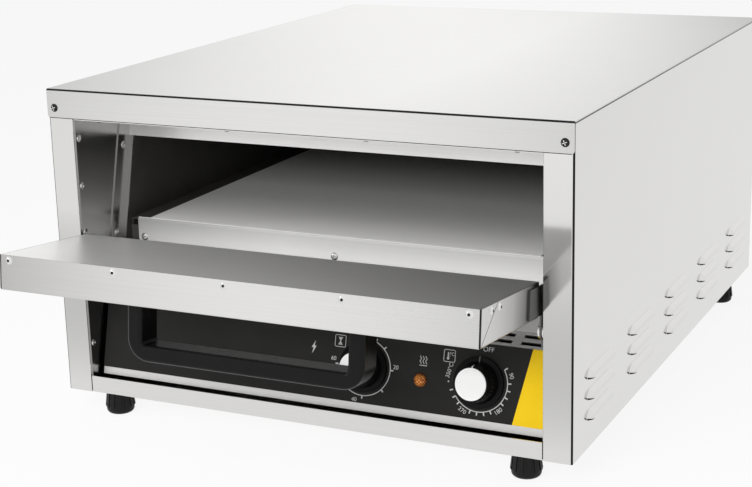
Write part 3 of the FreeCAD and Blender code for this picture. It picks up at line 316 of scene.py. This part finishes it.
cover_steel = brushed("cover_steel", (0.87, 0.865, 0.855), ACROSS, shade_fade=cover_painted_sheen, shade_lines=cover_fold_shade)
dress(cover_steel, "top_cover")
black_screw_and_shade = moulded("black_oxide_and_shade", (0.004, 0.004, 0.004, 1), (0.008, 0.008, 0.008, 1), 0.16, shine=0.3)
dress(black_screw_and_shade, "cover_screws")


# Jambs, soffit, door frame strips and sill: plain stainless sheet, brushed up and down on the jambs.
# Blind rivets and pan-head screws of bright steel hold them.
UPRIGHT = (1500.0, 1500.0, 5.0)
# The jambs, door frame strips and sill get darker copies of the steel: painted shade of the dark chamber
# and door that they reflect.
shaded_jamb_steel = brushed("shaded_jamb_steel", (0.42, 0.415, 0.41), UPRIGHT, 0.2)
dress(shaded_jamb_steel, "left_jamb", "right_jamb", "left_door_frame", "right_door_frame")
dress(brushed("frame_steel", (0.88, 0.875, 0.865), ACROSS, 0.3, 0.75), "soffit", "top_door_frame")
dress(brushed("shaded_sill_steel", (0.36, 0.355, 0.35), ACROSS, 0.35), "sill")
bright_steel_and_highlight = brushed("bright_steel_and_highlight", (0.75, 0.75, 0.74), (900.0, 900.0, 900.0), 0.25)
dress(bright_steel_and_highlight, "frame_rivets", "casing_screws")


# Chamber: sheet dulled almost black by heat, with a stand under its rear end.
# The baking deck is a pale plate on two ledges, folded down in front and screwed to a bar.
heat_dulled = moulded("heat_dulled_sheet", (0.030, 0.029, 0.027, 1), (0.056, 0.053, 0.050, 1), 0.6, 700.0)
dress(heat_dulled, "chamber_left_wall", "chamber_right_wall", "chamber_ceiling", "chamber_floor",
      "chamber_back", "chamber_stand", "deck_ledges", "deck_bar")
DECK_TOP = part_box("deck_plate")[1].z
LIP_DEPTH = 0.0004
LIP_SHADE, LIP_CLEARING = 0.68, 15
LIP_LEFT, LIP_LEFT_SHADE = -0.05, 2


def lip_painted_reflection(place):
    """Painted reflection: the folded lip is darker than the plate, most at its top and its left end."""
    x, y, z = place.axes()
    left = (LIP_LEFT - x).at_least(0)
    return (z < DECK_TOP - LIP_DEPTH) * (LIP_SHADE - LIP_CLEARING * (DECK_TOP - z) + LIP_LEFT_SHADE * left)


deck_sheet = brushed("deck_sheet", (0.93, 0.925, 0.915), ACROSS, 0.42, 0.1, lip_painted_reflection, contrast=0.05)
dress(deck_sheet, "deck_plate")


# Heating elements: tubes with an oxidised sheath, held by small clips.
# The thermostat's copper capillary and bulb lie beside them.
sheath = moulded("oxidised_sheath", (0.03, 0.028, 0.026, 1), (0.08, 0.07, 0.065, 1), 0.5, 900.0)
dress(sheath, "upper_element", "lower_element", "element_clips")
dress(brushed("drawn_copper", (0.72, 0.42, 0.28), LENGTHWAYS), "thermostat_bulb")


# Insulation: slabs of felted mineral wool, cut to size and packed loose.
# They lie over, beside and behind the chamber and fill the door.
FIBRES = (300.0, 300.0, 900.0)
FIBRE_DETAIL, FIBRE_STRENGTH, FIBRE_HEIGHT = 6.0, 0.8, 0.002


def felted(name):
    material, place, give = finish_named(name, {"Roughness": 1.0})
    fibres = place.noise(FIBRES, FIBRE_DETAIL)
    give(
        Base_Color=fibres.blend((0.42, 0.38, 0.26, 1), (0.78, 0.73, 0.56, 1)),
        Normal=place.bump(fibres, FIBRE_STRENGTH, FIBRE_HEIGHT),
    )
    return material


dress(felted("mineral_wool"), "top_insulation", "side_insulation", "rear_insulation", "door_insulation")


# Control bracket: brushed sheet with a vented shelf; the black printed film lies on its leaning face.
# The film's right end is yellow, with a slanting edge.
LEAN = math.radians(14)
COVER_SHEET, PANEL_SET_BACK, PANEL_BOTTOM = 0.001, 0.014, 0.035
PANEL_ORIGIN = Vector((0.0, POST_FACE - COVER_SHEET + PANEL_SET_BACK, PANEL_BOTTOM))
SHELF_FRONT, SHELF_FOOT = 0.0008, 0.0698
SHELF_SLOPE = 0.0117 / 0.0164
SLOT_DEPTH = 0.0002


def slot_wall_shade(place):
    """Painted shade on the walls of the shelf's slots, which lie below its upper face."""
    x, y, z = place.axes()
    back = y - PANEL_ORIGIN.y
    rise = z - PANEL_ORIGIN.z
    depth = math.cos(LEAN) * back - math.sin(LEAN) * rise
    height = math.sin(LEAN) * back + math.cos(LEAN) * rise
    below = SHELF_SLOPE * (depth - SHELF_FRONT) + SHELF_FOOT - height
    return (below > SLOT_DEPTH) * (depth > 2 * SHELF_FRONT)


bracket_steel = brushed("bracket_steel", (0.7, 0.695, 0.685), ACROSS, 0.3, 0.55, shade_lines=slot_wall_shade)
dress(bracket_steel, "control_bracket")
fascia_low, fascia_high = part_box("control_fascia")
FILM_FOOT = 0.0066
FACE_UP = Vector((0, math.sin(LEAN), math.cos(LEAN)))
FACE_OUT = Vector((0, -math.cos(LEAN), math.sin(LEAN)))
PANEL_FOOT = Vector((0.0, fascia_low.y, fascia_low.z)) - FILM_FOOT * FACE_UP
WEDGE_FOOT = 0.1835
WEDGE_RUN = 0.0129
WEDGE_LEAN = WEDGE_RUN / (fascia_high.z - fascia_low.z)
FILM_CLOUDS = (60.0, 60.0, 60.0)
FILM_GRAIN = (2200.0, 2200.0, 2200.0)
FILM_STRENGTH, FILM_HEIGHT = 0.2, 0.00004
FILM_ROUGH, FILM_GLOSS = 0.42, 0.1


def printed_film(name):
    material, place, give = finish_named(name, {"Specular IOR Level": 0.13})
    x, y, z = place.axes()
    wedge = (x - WEDGE_LEAN * (z - fascia_low.z)) > WEDGE_FOOT
    cloud = place.noise(FILM_CLOUDS)
    grain = place.noise(FILM_GRAIN)
    black = cloud.blend((0.016, 0.0155, 0.015, 1), (0.022, 0.0213, 0.0206, 1))
    yellow = cloud.blend((0.96, 0.63, 0.012, 1), (0.99, 0.67, 0.018, 1))
    give(
        Base_Color=wedge.blend(black, yellow),
        Roughness=FILM_ROUGH + FILM_GLOSS * cloud,
        Normal=place.bump(grain, FILM_STRENGTH, FILM_HEIGHT),
    )
    return material


dress(printed_film("printed_film"), "control_fascia")


# Printing on the film: scale rings with ticks, dial numbers and small pictures, in white ink.
# Each is a thin layer a little above the film.
INK_LIFT, INK_THICK = 0.00012, 0.0001
DIAL_HEIGHT = 0.0376
TIMER_X, THERMOSTAT_X = 0.0485, 0.153
# The white ink is coloured mid grey: painted shade of the open door above the panel.
shaded_white_ink = moulded("shaded_white_ink", (0.5, 0.5, 0.5, 1), (0.6, 0.6, 0.6, 1), 0.5)


def onto_panel(x, height, turn=0.0):
    """The place on the panel's face at x across and a height up its slope, turned on the face."""
    spot = Vector((x, PANEL_FOOT.y, PANEL_FOOT.z)) + height * FACE_UP + INK_LIFT * FACE_OUT
    face = Matrix(((1, 0, 0), tuple(FACE_UP), tuple(FACE_OUT))).transposed().to_4x4()
    return Matrix.Translation(spot) @ face @ Matrix.Rotation(turn, 4, "Z")


def thin_layer(name, shape, material, body):
    """A flat shape given a little thickness, as a piece."""
    bmesh.ops.solidify(shape, geom=shape.faces[:], thickness=INK_THICK)
    bmesh.ops.recalc_face_normals(shape, faces=shape.faces)
    return piece(name, shape, material, body)


def print_at(name, shape, x, height):
    """White printing, drawn flat about the origin and laid on the panel."""
    bmesh.ops.transform(shape, matrix=onto_panel(x, height), verts=shape.verts)
    return thin_layer(name, shape, shaded_white_ink, "casing")


def bar(shape, centre_x, centre_y, width, height, turn=0.0):
    """A printed bar in the flat shape, turned about its own middle."""
    made = bmesh.ops.create_grid(shape, x_segments=1, y_segments=1, size=0.5)["verts"]
    bmesh.ops.scale(shape, vec=(width, height, 1), verts=made)
    bmesh.ops.rotate(shape, matrix=Matrix.Rotation(turn, 3, "Z"), verts=made)
    bmesh.ops.translate(shape, vec=(centre_x, centre_y, 0), verts=made)
    return made


RING_RADIUS, RING_WIDE, RING_STEPS = 0.0238, 0.0007, 72
TICK_WIDE, TICK_ROOT = 0.0011, 0.0005


def scale_ring(name, x, start, end, ticks, tick_long):
    """A printed arc round a dial with ticks outside it; angles run clockwise from the top."""
    shape = bmesh.new()
    inner = shape.verts.new((0, RING_RADIUS, 0))
    outer = shape.verts.new((0, RING_RADIUS + RING_WIDE, 0))
    edge = shape.edges.new((inner, outer))
    bmesh.ops.rotate(shape, matrix=Matrix.Rotation(-start, 3, "Z"), verts=[inner, outer])
    bmesh.ops.spin(
        shape, geom=[inner, outer, edge], axis=(0, 0, 1), angle=start - end, steps=RING_STEPS)
    reach = RING_RADIUS + TICK_ROOT + tick_long / 2
    for angle in ticks:
        bar(shape, reach * math.sin(angle), reach * math.cos(angle), TICK_WIDE, tick_long, -angle)
    return print_at(name, shape, x, DIAL_HEIGHT)


def degrees(*angles):
    return [math.radians(angle) for angle in angles]


TIMER_TICKS = degrees(22.5, 45, 90, 135, 180, 225, 270)
scale_ring("timer_scale", TIMER_X, *degrees(0, 270), TIMER_TICKS, 0.0026)
NUMBERED = (1, 6, 11)
FIRST_TICK, TICK_STEP, TICK_COUNT = 58, 13.7, 15
steps = [FIRST_TICK + TICK_STEP * step for step in range(TICK_COUNT) if step not in NUMBERED]
scale_ring("thermostat_scale", THERMOSTAT_X, *degrees(FIRST_TICK, 236), degrees(*steps), 0.0030)


def lettering(name, words, x, height, size, turn=0.0):
    """Printed words, made a mesh and laid on the panel."""
    curve = bpy.data.curves.new(name, "FONT")
    curve.body = words
    curve.size = size
    curve.align_x = "CENTER"
    curve.align_y = "CENTER"
    curve.extrude = INK_THICK / 2
    text = bpy.data.objects.new(name, curve)
    mesh = bpy.data.meshes.new_from_object(text)
    bpy.data.objects.remove(text)
    mesh.transform(onto_panel(x, height, turn))
    mesh.materials.clear()
    mesh.materials.append(shaded_white_ink)
    made = bpy.data.objects.new(name, mesh)
    bpy.context.scene.collection.objects.link(made)
    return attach(made, "casing")


NUMBER_SIZE = 0.0050


def round_dial(name, words, x, angle, reach, turn):
    """A number beside a dial, at an angle clockwise from the top."""
    across = x + reach * math.sin(angle)
    lettering(name, words, across, DIAL_HEIGHT + reach * math.cos(angle), NUMBER_SIZE, turn)


TIMER_REACH, THERMOSTAT_REACH = 0.0292, 0.0280
for words, angle in (("20", 84), ("40", 194), ("60", 278)):
    round_dial("timer_" + words, words, TIMER_X, math.radians(angle), TIMER_REACH, 0.0)
for number, unit, angle, turn in (
        ("90", "", 72, -72), ("180", "", 140, 40), ("270", "", 208.5, -28.5), ("350", "°C", 284, 76)):
    round_dial("thermostat_" + number, number + unit, THERMOSTAT_X, math.radians(angle),
               THERMOSTAT_REACH, math.radians(turn))
LIMIT_TURN, LIMIT_REACH, LIMIT_RADIUS = math.radians(265), 0.0275, 0.0007
limit_mark = bmesh.new()
bmesh.ops.create_circle(limit_mark, cap_ends=True, segments=12, radius=LIMIT_RADIUS)
bmesh.ops.translate(limit_mark, vec=(0, LIMIT_REACH, 0), verts=limit_mark.verts)
bmesh.ops.rotate(limit_mark, matrix=Matrix.Rotation(-LIMIT_TURN, 3, "Z"), verts=limit_mark.verts)
print_at("thermostat_limit_mark", limit_mark, THERMOSTAT_X, DIAL_HEIGHT)
lettering("thermostat_off", "OFF", 0.1585, 0.0652, 0.0056)
lettering("timer_zero", "0", TIMER_X, 0.0660, NUMBER_SIZE)
FRAME_HALF, FRAME_ROUND, FRAME_LINE = 0.0052, 0.0014, 0.0005


def picture_frame(shape):
    """A thin rounded square round a picture, about the origin."""
    corners = bmesh.ops.create_grid(shape, x_segments=1, y_segments=1, size=FRAME_HALF)["verts"]
    bmesh.ops.bevel(
        shape, geom=corners, offset=FRAME_ROUND, segments=4, profile=0.5, affect="VERTICES", material=-1)
    sheet = shape.faces[:]
    bmesh.ops.inset_region(
        shape, faces=sheet, thickness=FRAME_LINE, use_boundary=True, use_even_offset=True)
    bmesh.ops.delete(shape, geom=sheet, context="FACES")


STEM_X, STEM_WIDE, STEM_LONG, BULB_RADIUS = -0.0012, 0.0010, 0.0046, 0.0011
thermometer = bmesh.new()
picture_frame(thermometer)
bulb = bmesh.ops.create_circle(thermometer, cap_ends=True, segments=20, radius=BULB_RADIUS)["verts"]
bmesh.ops.translate(thermometer, vec=(STEM_X, -0.0022, 0), verts=bulb)
bar(thermometer, STEM_X, 0.0006, STEM_WIDE, STEM_LONG)
for step in range(3):
    bar(thermometer, 0.0003, -0.0003 + 0.0012 * step, 0.0009, 0.0003)
print_at("thermometer_picture", thermometer, 0.1248, 0.0562)
lettering("thermometer_degree", "°C", 0.1270, 0.0577, 0.0040)

PLATE_LEVEL, PLATE_WIDE, PLATE_THICK = 0.0030, 0.0042, 0.0005
GLASS_RADIUS, GLASS_LEVEL = 0.0019, 0.0016
hourglass = bmesh.new()
picture_frame(hourglass)
bar(hourglass, 0, PLATE_LEVEL, PLATE_WIDE, PLATE_THICK)
bar(hourglass, 0, -PLATE_LEVEL, PLATE_WIDE, PLATE_THICK)
for side, turn in ((1, math.pi), (-1, 0.0)):
    glass = bmesh.ops.create_circle(hourglass, cap_ends=True, segments=3, radius=GLASS_RADIUS)["verts"]
    bmesh.ops.rotate(hourglass, matrix=Matrix.Rotation(turn, 3, "Z"), verts=glass)
    bmesh.ops.translate(hourglass, vec=(0, GLASS_LEVEL * side, 0), verts=glass)
print_at("hourglass_picture", hourglass, 0.0247, 0.0570)

WAVE_APART, WAVE_WIDE, WAVE_LONG = 0.0025, 0.0006, 0.0066
WAVE_SWING, WAVE_PITCH = 0.00055, 0.0041
heat_waves = bmesh.new()
for place in (-WAVE_APART, 0.0, WAVE_APART):
    wave = bmesh.ops.create_grid(heat_waves, x_segments=1, y_segments=14, size=0.5)["verts"]
    bmesh.ops.scale(heat_waves, vec=(WAVE_WIDE, WAVE_LONG, 1), verts=wave)
    for vert in wave:
        vert.co.x += place + WAVE_SWING * math.sin(vert.co.y * math.tau / WAVE_PITCH)
bar(heat_waves, 0, -0.0046, 0.0068, 0.0006)
print_at("heat_picture", heat_waves, 0.102, 0.0500)

SPARK_CORNERS = (
    (0.0014, 0.0056), (-0.0022, -0.0004), (-0.0003, -0.0004),
    (-0.0014, -0.0056), (0.0024, 0.0012), (0.0004, 0.0012),
)
spark = bmesh.new()
spark.faces.new([spark.verts.new((x, y, 0)) for x, y in SPARK_CORNERS])
print_at("spark_picture", spark, 0.0, 0.0490)


# The header screws have cross recesses; bright crosses lie over them as thin layers on the black heads.
# They are painted highlight, the light caught by the recesses' edges.
SCREW_LOW, SCREW_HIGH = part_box("cover_screws")
SCREW_RADIUS = (SCREW_HIGH.z - SCREW_LOW.z) / 2
CROSS_LONG, CROSS_WIDE = 0.0042, 0.0007
CROSS_TURN = math.radians(20)
cross_highlights = bmesh.new()
for side in (-1, 1):
    head = Vector((side * (SCREW_HIGH.x - SCREW_RADIUS), SCREW_LOW.y, SCREW_LOW.z + SCREW_RADIUS))
    stand = Matrix.Translation(head) @ Matrix.Rotation(math.pi / 2, 4, "X")
    for long, wide in ((CROSS_LONG, CROSS_WIDE), (CROSS_WIDE, CROSS_LONG)):
        arm = bar(cross_highlights, 0, 0, long, wide, CROSS_TURN)
        bmesh.ops.transform(cross_highlights, matrix=stand, verts=arm)
thin_layer("screw_cross_highlights", cross_highlights, bright_steel_and_highlight, "casing")


# Lamp: an orange lens over a neon, in the film beside the dials.
# Moulded prisms inside the lens show as small bright squares, painted glints in its colour; the lens
# darkens towards its rim.
LAMP_X, LAMP_HEIGHT = 0.1004, 0.033
LENS_RADIUS = 0.006
PRISM_SCALE = 640.0
LENS_ROUGH, PRISM_ROUGH = 0.2, 0.15


def lens_finish(name):
    material, place, give = finish_named(name, {"Specular IOR Level": 0.25})
    x, y, z = place.axes()
    centre = onto_panel(LAMP_X, LAMP_HEIGHT).translation
    across = x - centre.x
    up = (z - centre.z) * (1 / math.cos(LEAN))
    off = place.maths("POWER", across * across + up * up, 0.5) * (1 / LENS_RADIUS)
    prisms = place.node("ShaderNodeTexChecker", {}, {"Vector": place, "Scale": PRISM_SCALE}, 1)
    # Painted glints: the prisms' squares alternate dark and bright orange.
    painted_glints = prisms.blend((0.22, 0.045, 0.008, 1), (0.95, 0.36, 0.07, 1))
    give(
        Base_Color=(off * off * off).blend(painted_glints, (0.05, 0.012, 0.004, 1)),
        Roughness=LENS_ROUGH + PRISM_ROUGH * prisms,
    )
    return material


dress(lens_finish("orange_lens"), "lamp_lens")


# Bodies of the lamp and the controls: ivory mouldings behind the panel, held by their shafts' nuts.
# The terminal block and the cable gland with its nut are black mouldings.
ivory = moulded("ivory_moulding", (0.55, 0.54, 0.50, 1), (0.66, 0.65, 0.60, 1), 0.5)
dress(ivory, "lamp_body", "timer_body", "thermostat_body")
gland_black = moulded("gland_black", (0.012, 0.012, 0.012, 1), (0.022, 0.022, 0.022, 1), 0.45)
dress(gland_black, "cable_gland", "gland_nut", "terminal_block")


# Knobs: black glossy mouldings pushed onto steel shafts, with a white cap pressed into each.
# A white pointer line is filled into the grip, and it is fainter on the skirt.
KNOB_MIDDLE = (TIMER_X + THERMOSTAT_X) / 2
KNOB_APART = (THERMOSTAT_X - TIMER_X) / 2
POINTER_HALF, POINTER_FOOT = 0.0005, 0.0133
GRIP_FRONT, SKIRT_FRONT, SKIRT_INK = 0.016, 0.006, 0.2
KNOB_ROUGH = 0.16


def knob_finish(name):
    """Black moulding with a white pointer line on the front of the grip and on the skirt."""
    material, place, give = finish_named(name, {"Specular IOR Level": 0.1})
    x, y, z = place.axes()
    back = y - PANEL_FOOT.y
    rise = z - PANEL_FOOT.z
    up = math.sin(LEAN) * back + math.cos(LEAN) * rise - DIAL_HEIGHT
    forward = math.sin(LEAN) * rise - math.cos(LEAN) * back
    beside = abs(abs(x - KNOB_MIDDLE) - KNOB_APART)
    inked = (forward > GRIP_FRONT) + SKIRT_INK * (forward < SKIRT_FRONT)
    pointer = (beside < POINTER_HALF) * (up > POINTER_FOOT) * inked
    cloud = place.noise(CLOUDS)
    black = cloud.blend((0.003, 0.003, 0.003, 1), (0.006, 0.006, 0.006, 1))
    give(
        Base_Color=pointer.blend(black, (0.7, 0.7, 0.7, 1)),
        Roughness=KNOB_ROUGH + CLOUD_GLOSS * cloud,
    )
    return material


dress(knob_finish("knob_black"), "timer_knob", "thermostat_knob")
cap_white = moulded("cap_white", (0.86, 0.86, 0.855, 1), (0.92, 0.92, 0.915, 1), 0.35, shine=0.3)
dress(cap_white, "timer_knob_cap", "thermostat_knob_cap")
dress(bright_steel_and_highlight, "timer_shaft", "thermostat_shaft")


# Door: a brushed shell folded at its ends and an inner panel, closed with blind rivets.
# It hangs on two steel arms that turn on pins in the jambs; the arms are coloured almost black, painted
# shade under the door.
OPEN_RISE = math.radians(6.1)
PIVOT = Vector((0.0, -0.243138, 0.126398))
DOOR_UNDER, DOOR_THICK, DOOR_TIP = 0.01145, 0.0295, 0.1339
END_FACE = 0.2106
SEAM_RUN, SEAM_HALF = 0.033, 0.0004
CORNER_WIDE, CORNER_DEEP = 0.0008, 0.0012
HINGE_DARK, HINGE_CLEARING = 1.36, 16.5
END_DARK, END_CLEARING = 0.35, 1.9
DARKEST = 0.98
EDGE_MIDDLE, DOOR_EDGE_SHADE = 0.03, 8.2
INNER_SHADE, INNER_SHADE_RIGHT = 0.4, 2.2


def door_axes(place):
    """Across the door, through its thickness and out from the hinge."""
    x, y, z = place.axes()
    back = y - PIVOT.y
    up = z - PIVOT.z
    through = math.sin(OPEN_RISE) * back + math.cos(OPEN_RISE) * up
    out = math.sin(OPEN_RISE) * up - math.cos(OPEN_RISE) * back
    return x, through, out


def end_seam_shade(place):
    """Painted shade along the mitred corner folds on the door's ends."""
    x, through, out = door_axes(place)
    rise = DOOR_THICK / SEAM_RUN
    off = through - DOOR_UNDER - rise * (DOOR_TIP - out)
    on_seam = abs(off) < SEAM_HALF * math.hypot(1, rise)
    return (abs(x) > END_FACE) * on_seam * (out > DOOR_TIP - SEAM_RUN)


def door_fold_shade(place):
    """Painted shade: the end seams, the corners at the door's tip, and the ends darkening towards the
    hinge.
    """
    x, through, out = door_axes(place)
    corner = (abs(x) > END_FACE - CORNER_WIDE) * (out > DOOR_TIP - CORNER_DEEP)
    painted_hinge_shade = (HINGE_DARK - HINGE_CLEARING * out).at_least(END_DARK - END_CLEARING * out)
    near_hinge = (abs(x) > END_FACE) * painted_hinge_shade.at_most(DARKEST)
    return end_seam_shade(place).at_least(corner).at_least(near_hinge)


def edge_painted_reflection(place):
    """Painted reflection: the front edge is darker towards its corners."""
    x, through, out = door_axes(place)
    aside = x - EDGE_MIDDLE
    return (abs(x) < END_FACE) * (DOOR_EDGE_SHADE * (aside * aside))


def inner_painted_reflection(place):
    """Painted reflection: the inner face is darker towards its right-hand end."""
    x, through, out = door_axes(place)
    return (INNER_SHADE + INNER_SHADE_RIGHT * x).at_least(0)


door_steel = brushed("door_steel", (0.75, 0.745, 0.735), ACROSS, 0.28, 0.95, edge_painted_reflection, door_fold_shade)
dress(door_steel, "door_outer_shell")
door_inner = brushed("door_inner_steel", (0.88, 0.875, 0.865), ACROSS, 0.34, 0.6, inner_painted_reflection)
dress(door_inner, "door_inner_panel")
dress(bright_steel_and_highlight, "door_rivets", "hinge_pins", "hinge_bushes", "stop_pins", "handle_screws")
DOOR_HALF = 0.211
RIVET_PITCH = 0.101
RIVET_LEVEL = DOOR_UNDER + DOOR_THICK - 0.0045
RIVET_RISE, EYE_RADIUS = 0.0013, 0.0012
END_RIVETS = (0.021, 0.037)


def onto_door(x, through, out):
    """A place given across the door, through its thickness and out from the hinge."""
    back = math.sin(OPEN_RISE) * through - math.cos(OPEN_RISE) * out
    up = math.cos(OPEN_RISE) * through + math.sin(OPEN_RISE) * out
    return Vector((x, PIVOT.y + back, PIVOT.z + up))


def rivet_shade_disc(shape, spot, outward):
    """A black disc in the middle of a rivet's head: painted shade in the hollow of its broken mandrel."""
    facing = Matrix.Translation(spot) @ outward.to_track_quat("Z", "Y").to_matrix().to_4x4()
    end = bmesh.ops.create_circle(shape, cap_ends=True, segments=16, radius=EYE_RADIUS)["verts"]
    bmesh.ops.translate(shape, vec=(0, 0, RIVET_RISE), verts=end)
    bmesh.ops.transform(shape, matrix=facing, verts=end)


rivet_shades = bmesh.new()
tip_way = onto_door(0, 0, 1) - onto_door(0, 0, 0)
for step in range(-2, 3):
    rivet_shade_disc(rivet_shades, onto_door(step * RIVET_PITCH, RIVET_LEVEL, DOOR_TIP), tip_way)
for side in (-1, 1):
    for inset in END_RIVETS:
        spot = onto_door(side * DOOR_HALF, RIVET_LEVEL, DOOR_TIP - inset)
        rivet_shade_disc(rivet_shades, spot, Vector((side, 0, 0)))
# The discs take the screws' black as painted shade.
thin_layer("rivet_shade_discs", rivet_shades, black_screw_and_shade, "door")
# The hinge arms' near-black steel is painted shade.
dress(brushed("shaded_arm_steel", (0.12, 0.12, 0.118), UPRIGHT, 0.35), "hinge_arms")


# Handle: a bow of satin black moulding, open in its middle.
# Two screws hold it from inside the door.
handle_black = moulded("handle_black", (0.003, 0.003, 0.003, 1), (0.006, 0.006, 0.006, 1), 0.26, shine=0.14)
dress(handle_black, "door_handle")


# Studio: a pale paper floor, a white surround, soft lamps, and the camera at the photograph's angle.
# One small lamp also shows in the steel; the others only light the object.
FLOOR_SIZE, FLOOR_SHADOW = 12, 0.12
floor_shape = bmesh.new()
bmesh.ops.create_grid(floor_shape, x_segments=1, y_segments=1, size=FLOOR_SIZE)
floor_mesh = bpy.data.meshes.new("floor")
floor_shape.to_mesh(floor_mesh)
floor_shape.free()
floor = bpy.data.objects.new("floor", floor_mesh)
bpy.context.scene.collection.objects.link(floor)


def seen_as_backdrop(value):
    """One for the rays that show the backdrop: from the camera, in metal and through glass."""
    camera_ray, glossy_ray, glass_ray = (
        value.node("ShaderNodeLightPath", {}, {}, name)
        for name in ("Is Camera Ray", "Is Glossy Ray", "Is Transmission Ray"))
    return camera_ray.at_least(glossy_ray).at_least(glass_ray)


paper, ground, _ = finish_named("floor_paper", {"Base Color": (0.9, 0.9, 0.9, 1), "Roughness": 0.9})
white = ground.node("ShaderNodeEmission", {}, {"Color": (1, 1, 1, 1), "Strength": 1.0})
sheen = Value(ground.tree, ground.tree.nodes["Principled BSDF"].outputs[0])
lit = seen_as_backdrop(ground) * (1 - FLOOR_SHADOW)
mixed = ground.node("ShaderNodeMixShader", {}, {0: lit, 1: sheen, 2: white})
ground.tree.links.new(mixed.socket, ground.tree.nodes["Material Output"].inputs["Surface"])
floor_mesh.materials.append(paper)

AIR_LIGHT = 0.34
sky = bpy.data.worlds.new("studio")
bpy.context.scene.world = sky
sky.use_nodes = True
backdrop = sky.node_tree.nodes["Background"]
backdrop.inputs["Color"].default_value = (1, 1, 1, 1)
strength = AIR_LIGHT + (1 - AIR_LIGHT) * seen_as_backdrop(Value(sky.node_tree))
sky.node_tree.links.new(strength.socket, backdrop.inputs["Strength"])


def lamp(name, place, target, width, height, power, mirrored):
    light = bpy.data.lights.new(name, "AREA")
    light.shape = "RECTANGLE"
    light.size = width
    light.size_y = height
    light.energy = power
    made = bpy.data.objects.new(name, light)
    made.visible_glossy = mirrored
    made.visible_camera = False
    bpy.context.scene.collection.objects.link(made)
    away = Vector(place) - Vector(target)
    made.matrix_world = Matrix.Translation(place) @ away.to_track_quat("Z", "Y").to_matrix().to_4x4()


lamp("key_lamp", (-0.3, -1.9, 1.9), (0, -0.1, 0.15), 1.4, 1.4, 30, False)
lamp("front_lamp", (0.1, -2.0, 0.85), (0, -0.2, 0.12), 0.9, 0.4, 18, False)
lamp("spot_lamp", (-2.0, -1.5, 1.3), (0, -0.2, 0.15), 0.25, 0.25, 4, True)

view = bpy.data.cameras.new("camera")
view.sensor_width = 36.0
view.lens = 78.419
camera = bpy.data.objects.new("camera", view)
bpy.context.scene.collection.objects.link(camera)
bpy.context.scene.camera = camera
STAND = (0.6237, -1.4016, 0.5324)
YAW, PITCH, ROLL = degrees(25.638, -15.187, -1.446)
camera.matrix_world = (
    Matrix.Translation(STAND)
    @ Matrix.Rotation(YAW, 4, "Z")
    @ Matrix.Rotation(math.pi / 2 + PITCH, 4, "X")
    @ Matrix.Rotation(ROLL, 4, "Z")
)
bpy.context.scene.view_settings.view_transform = "Standard"
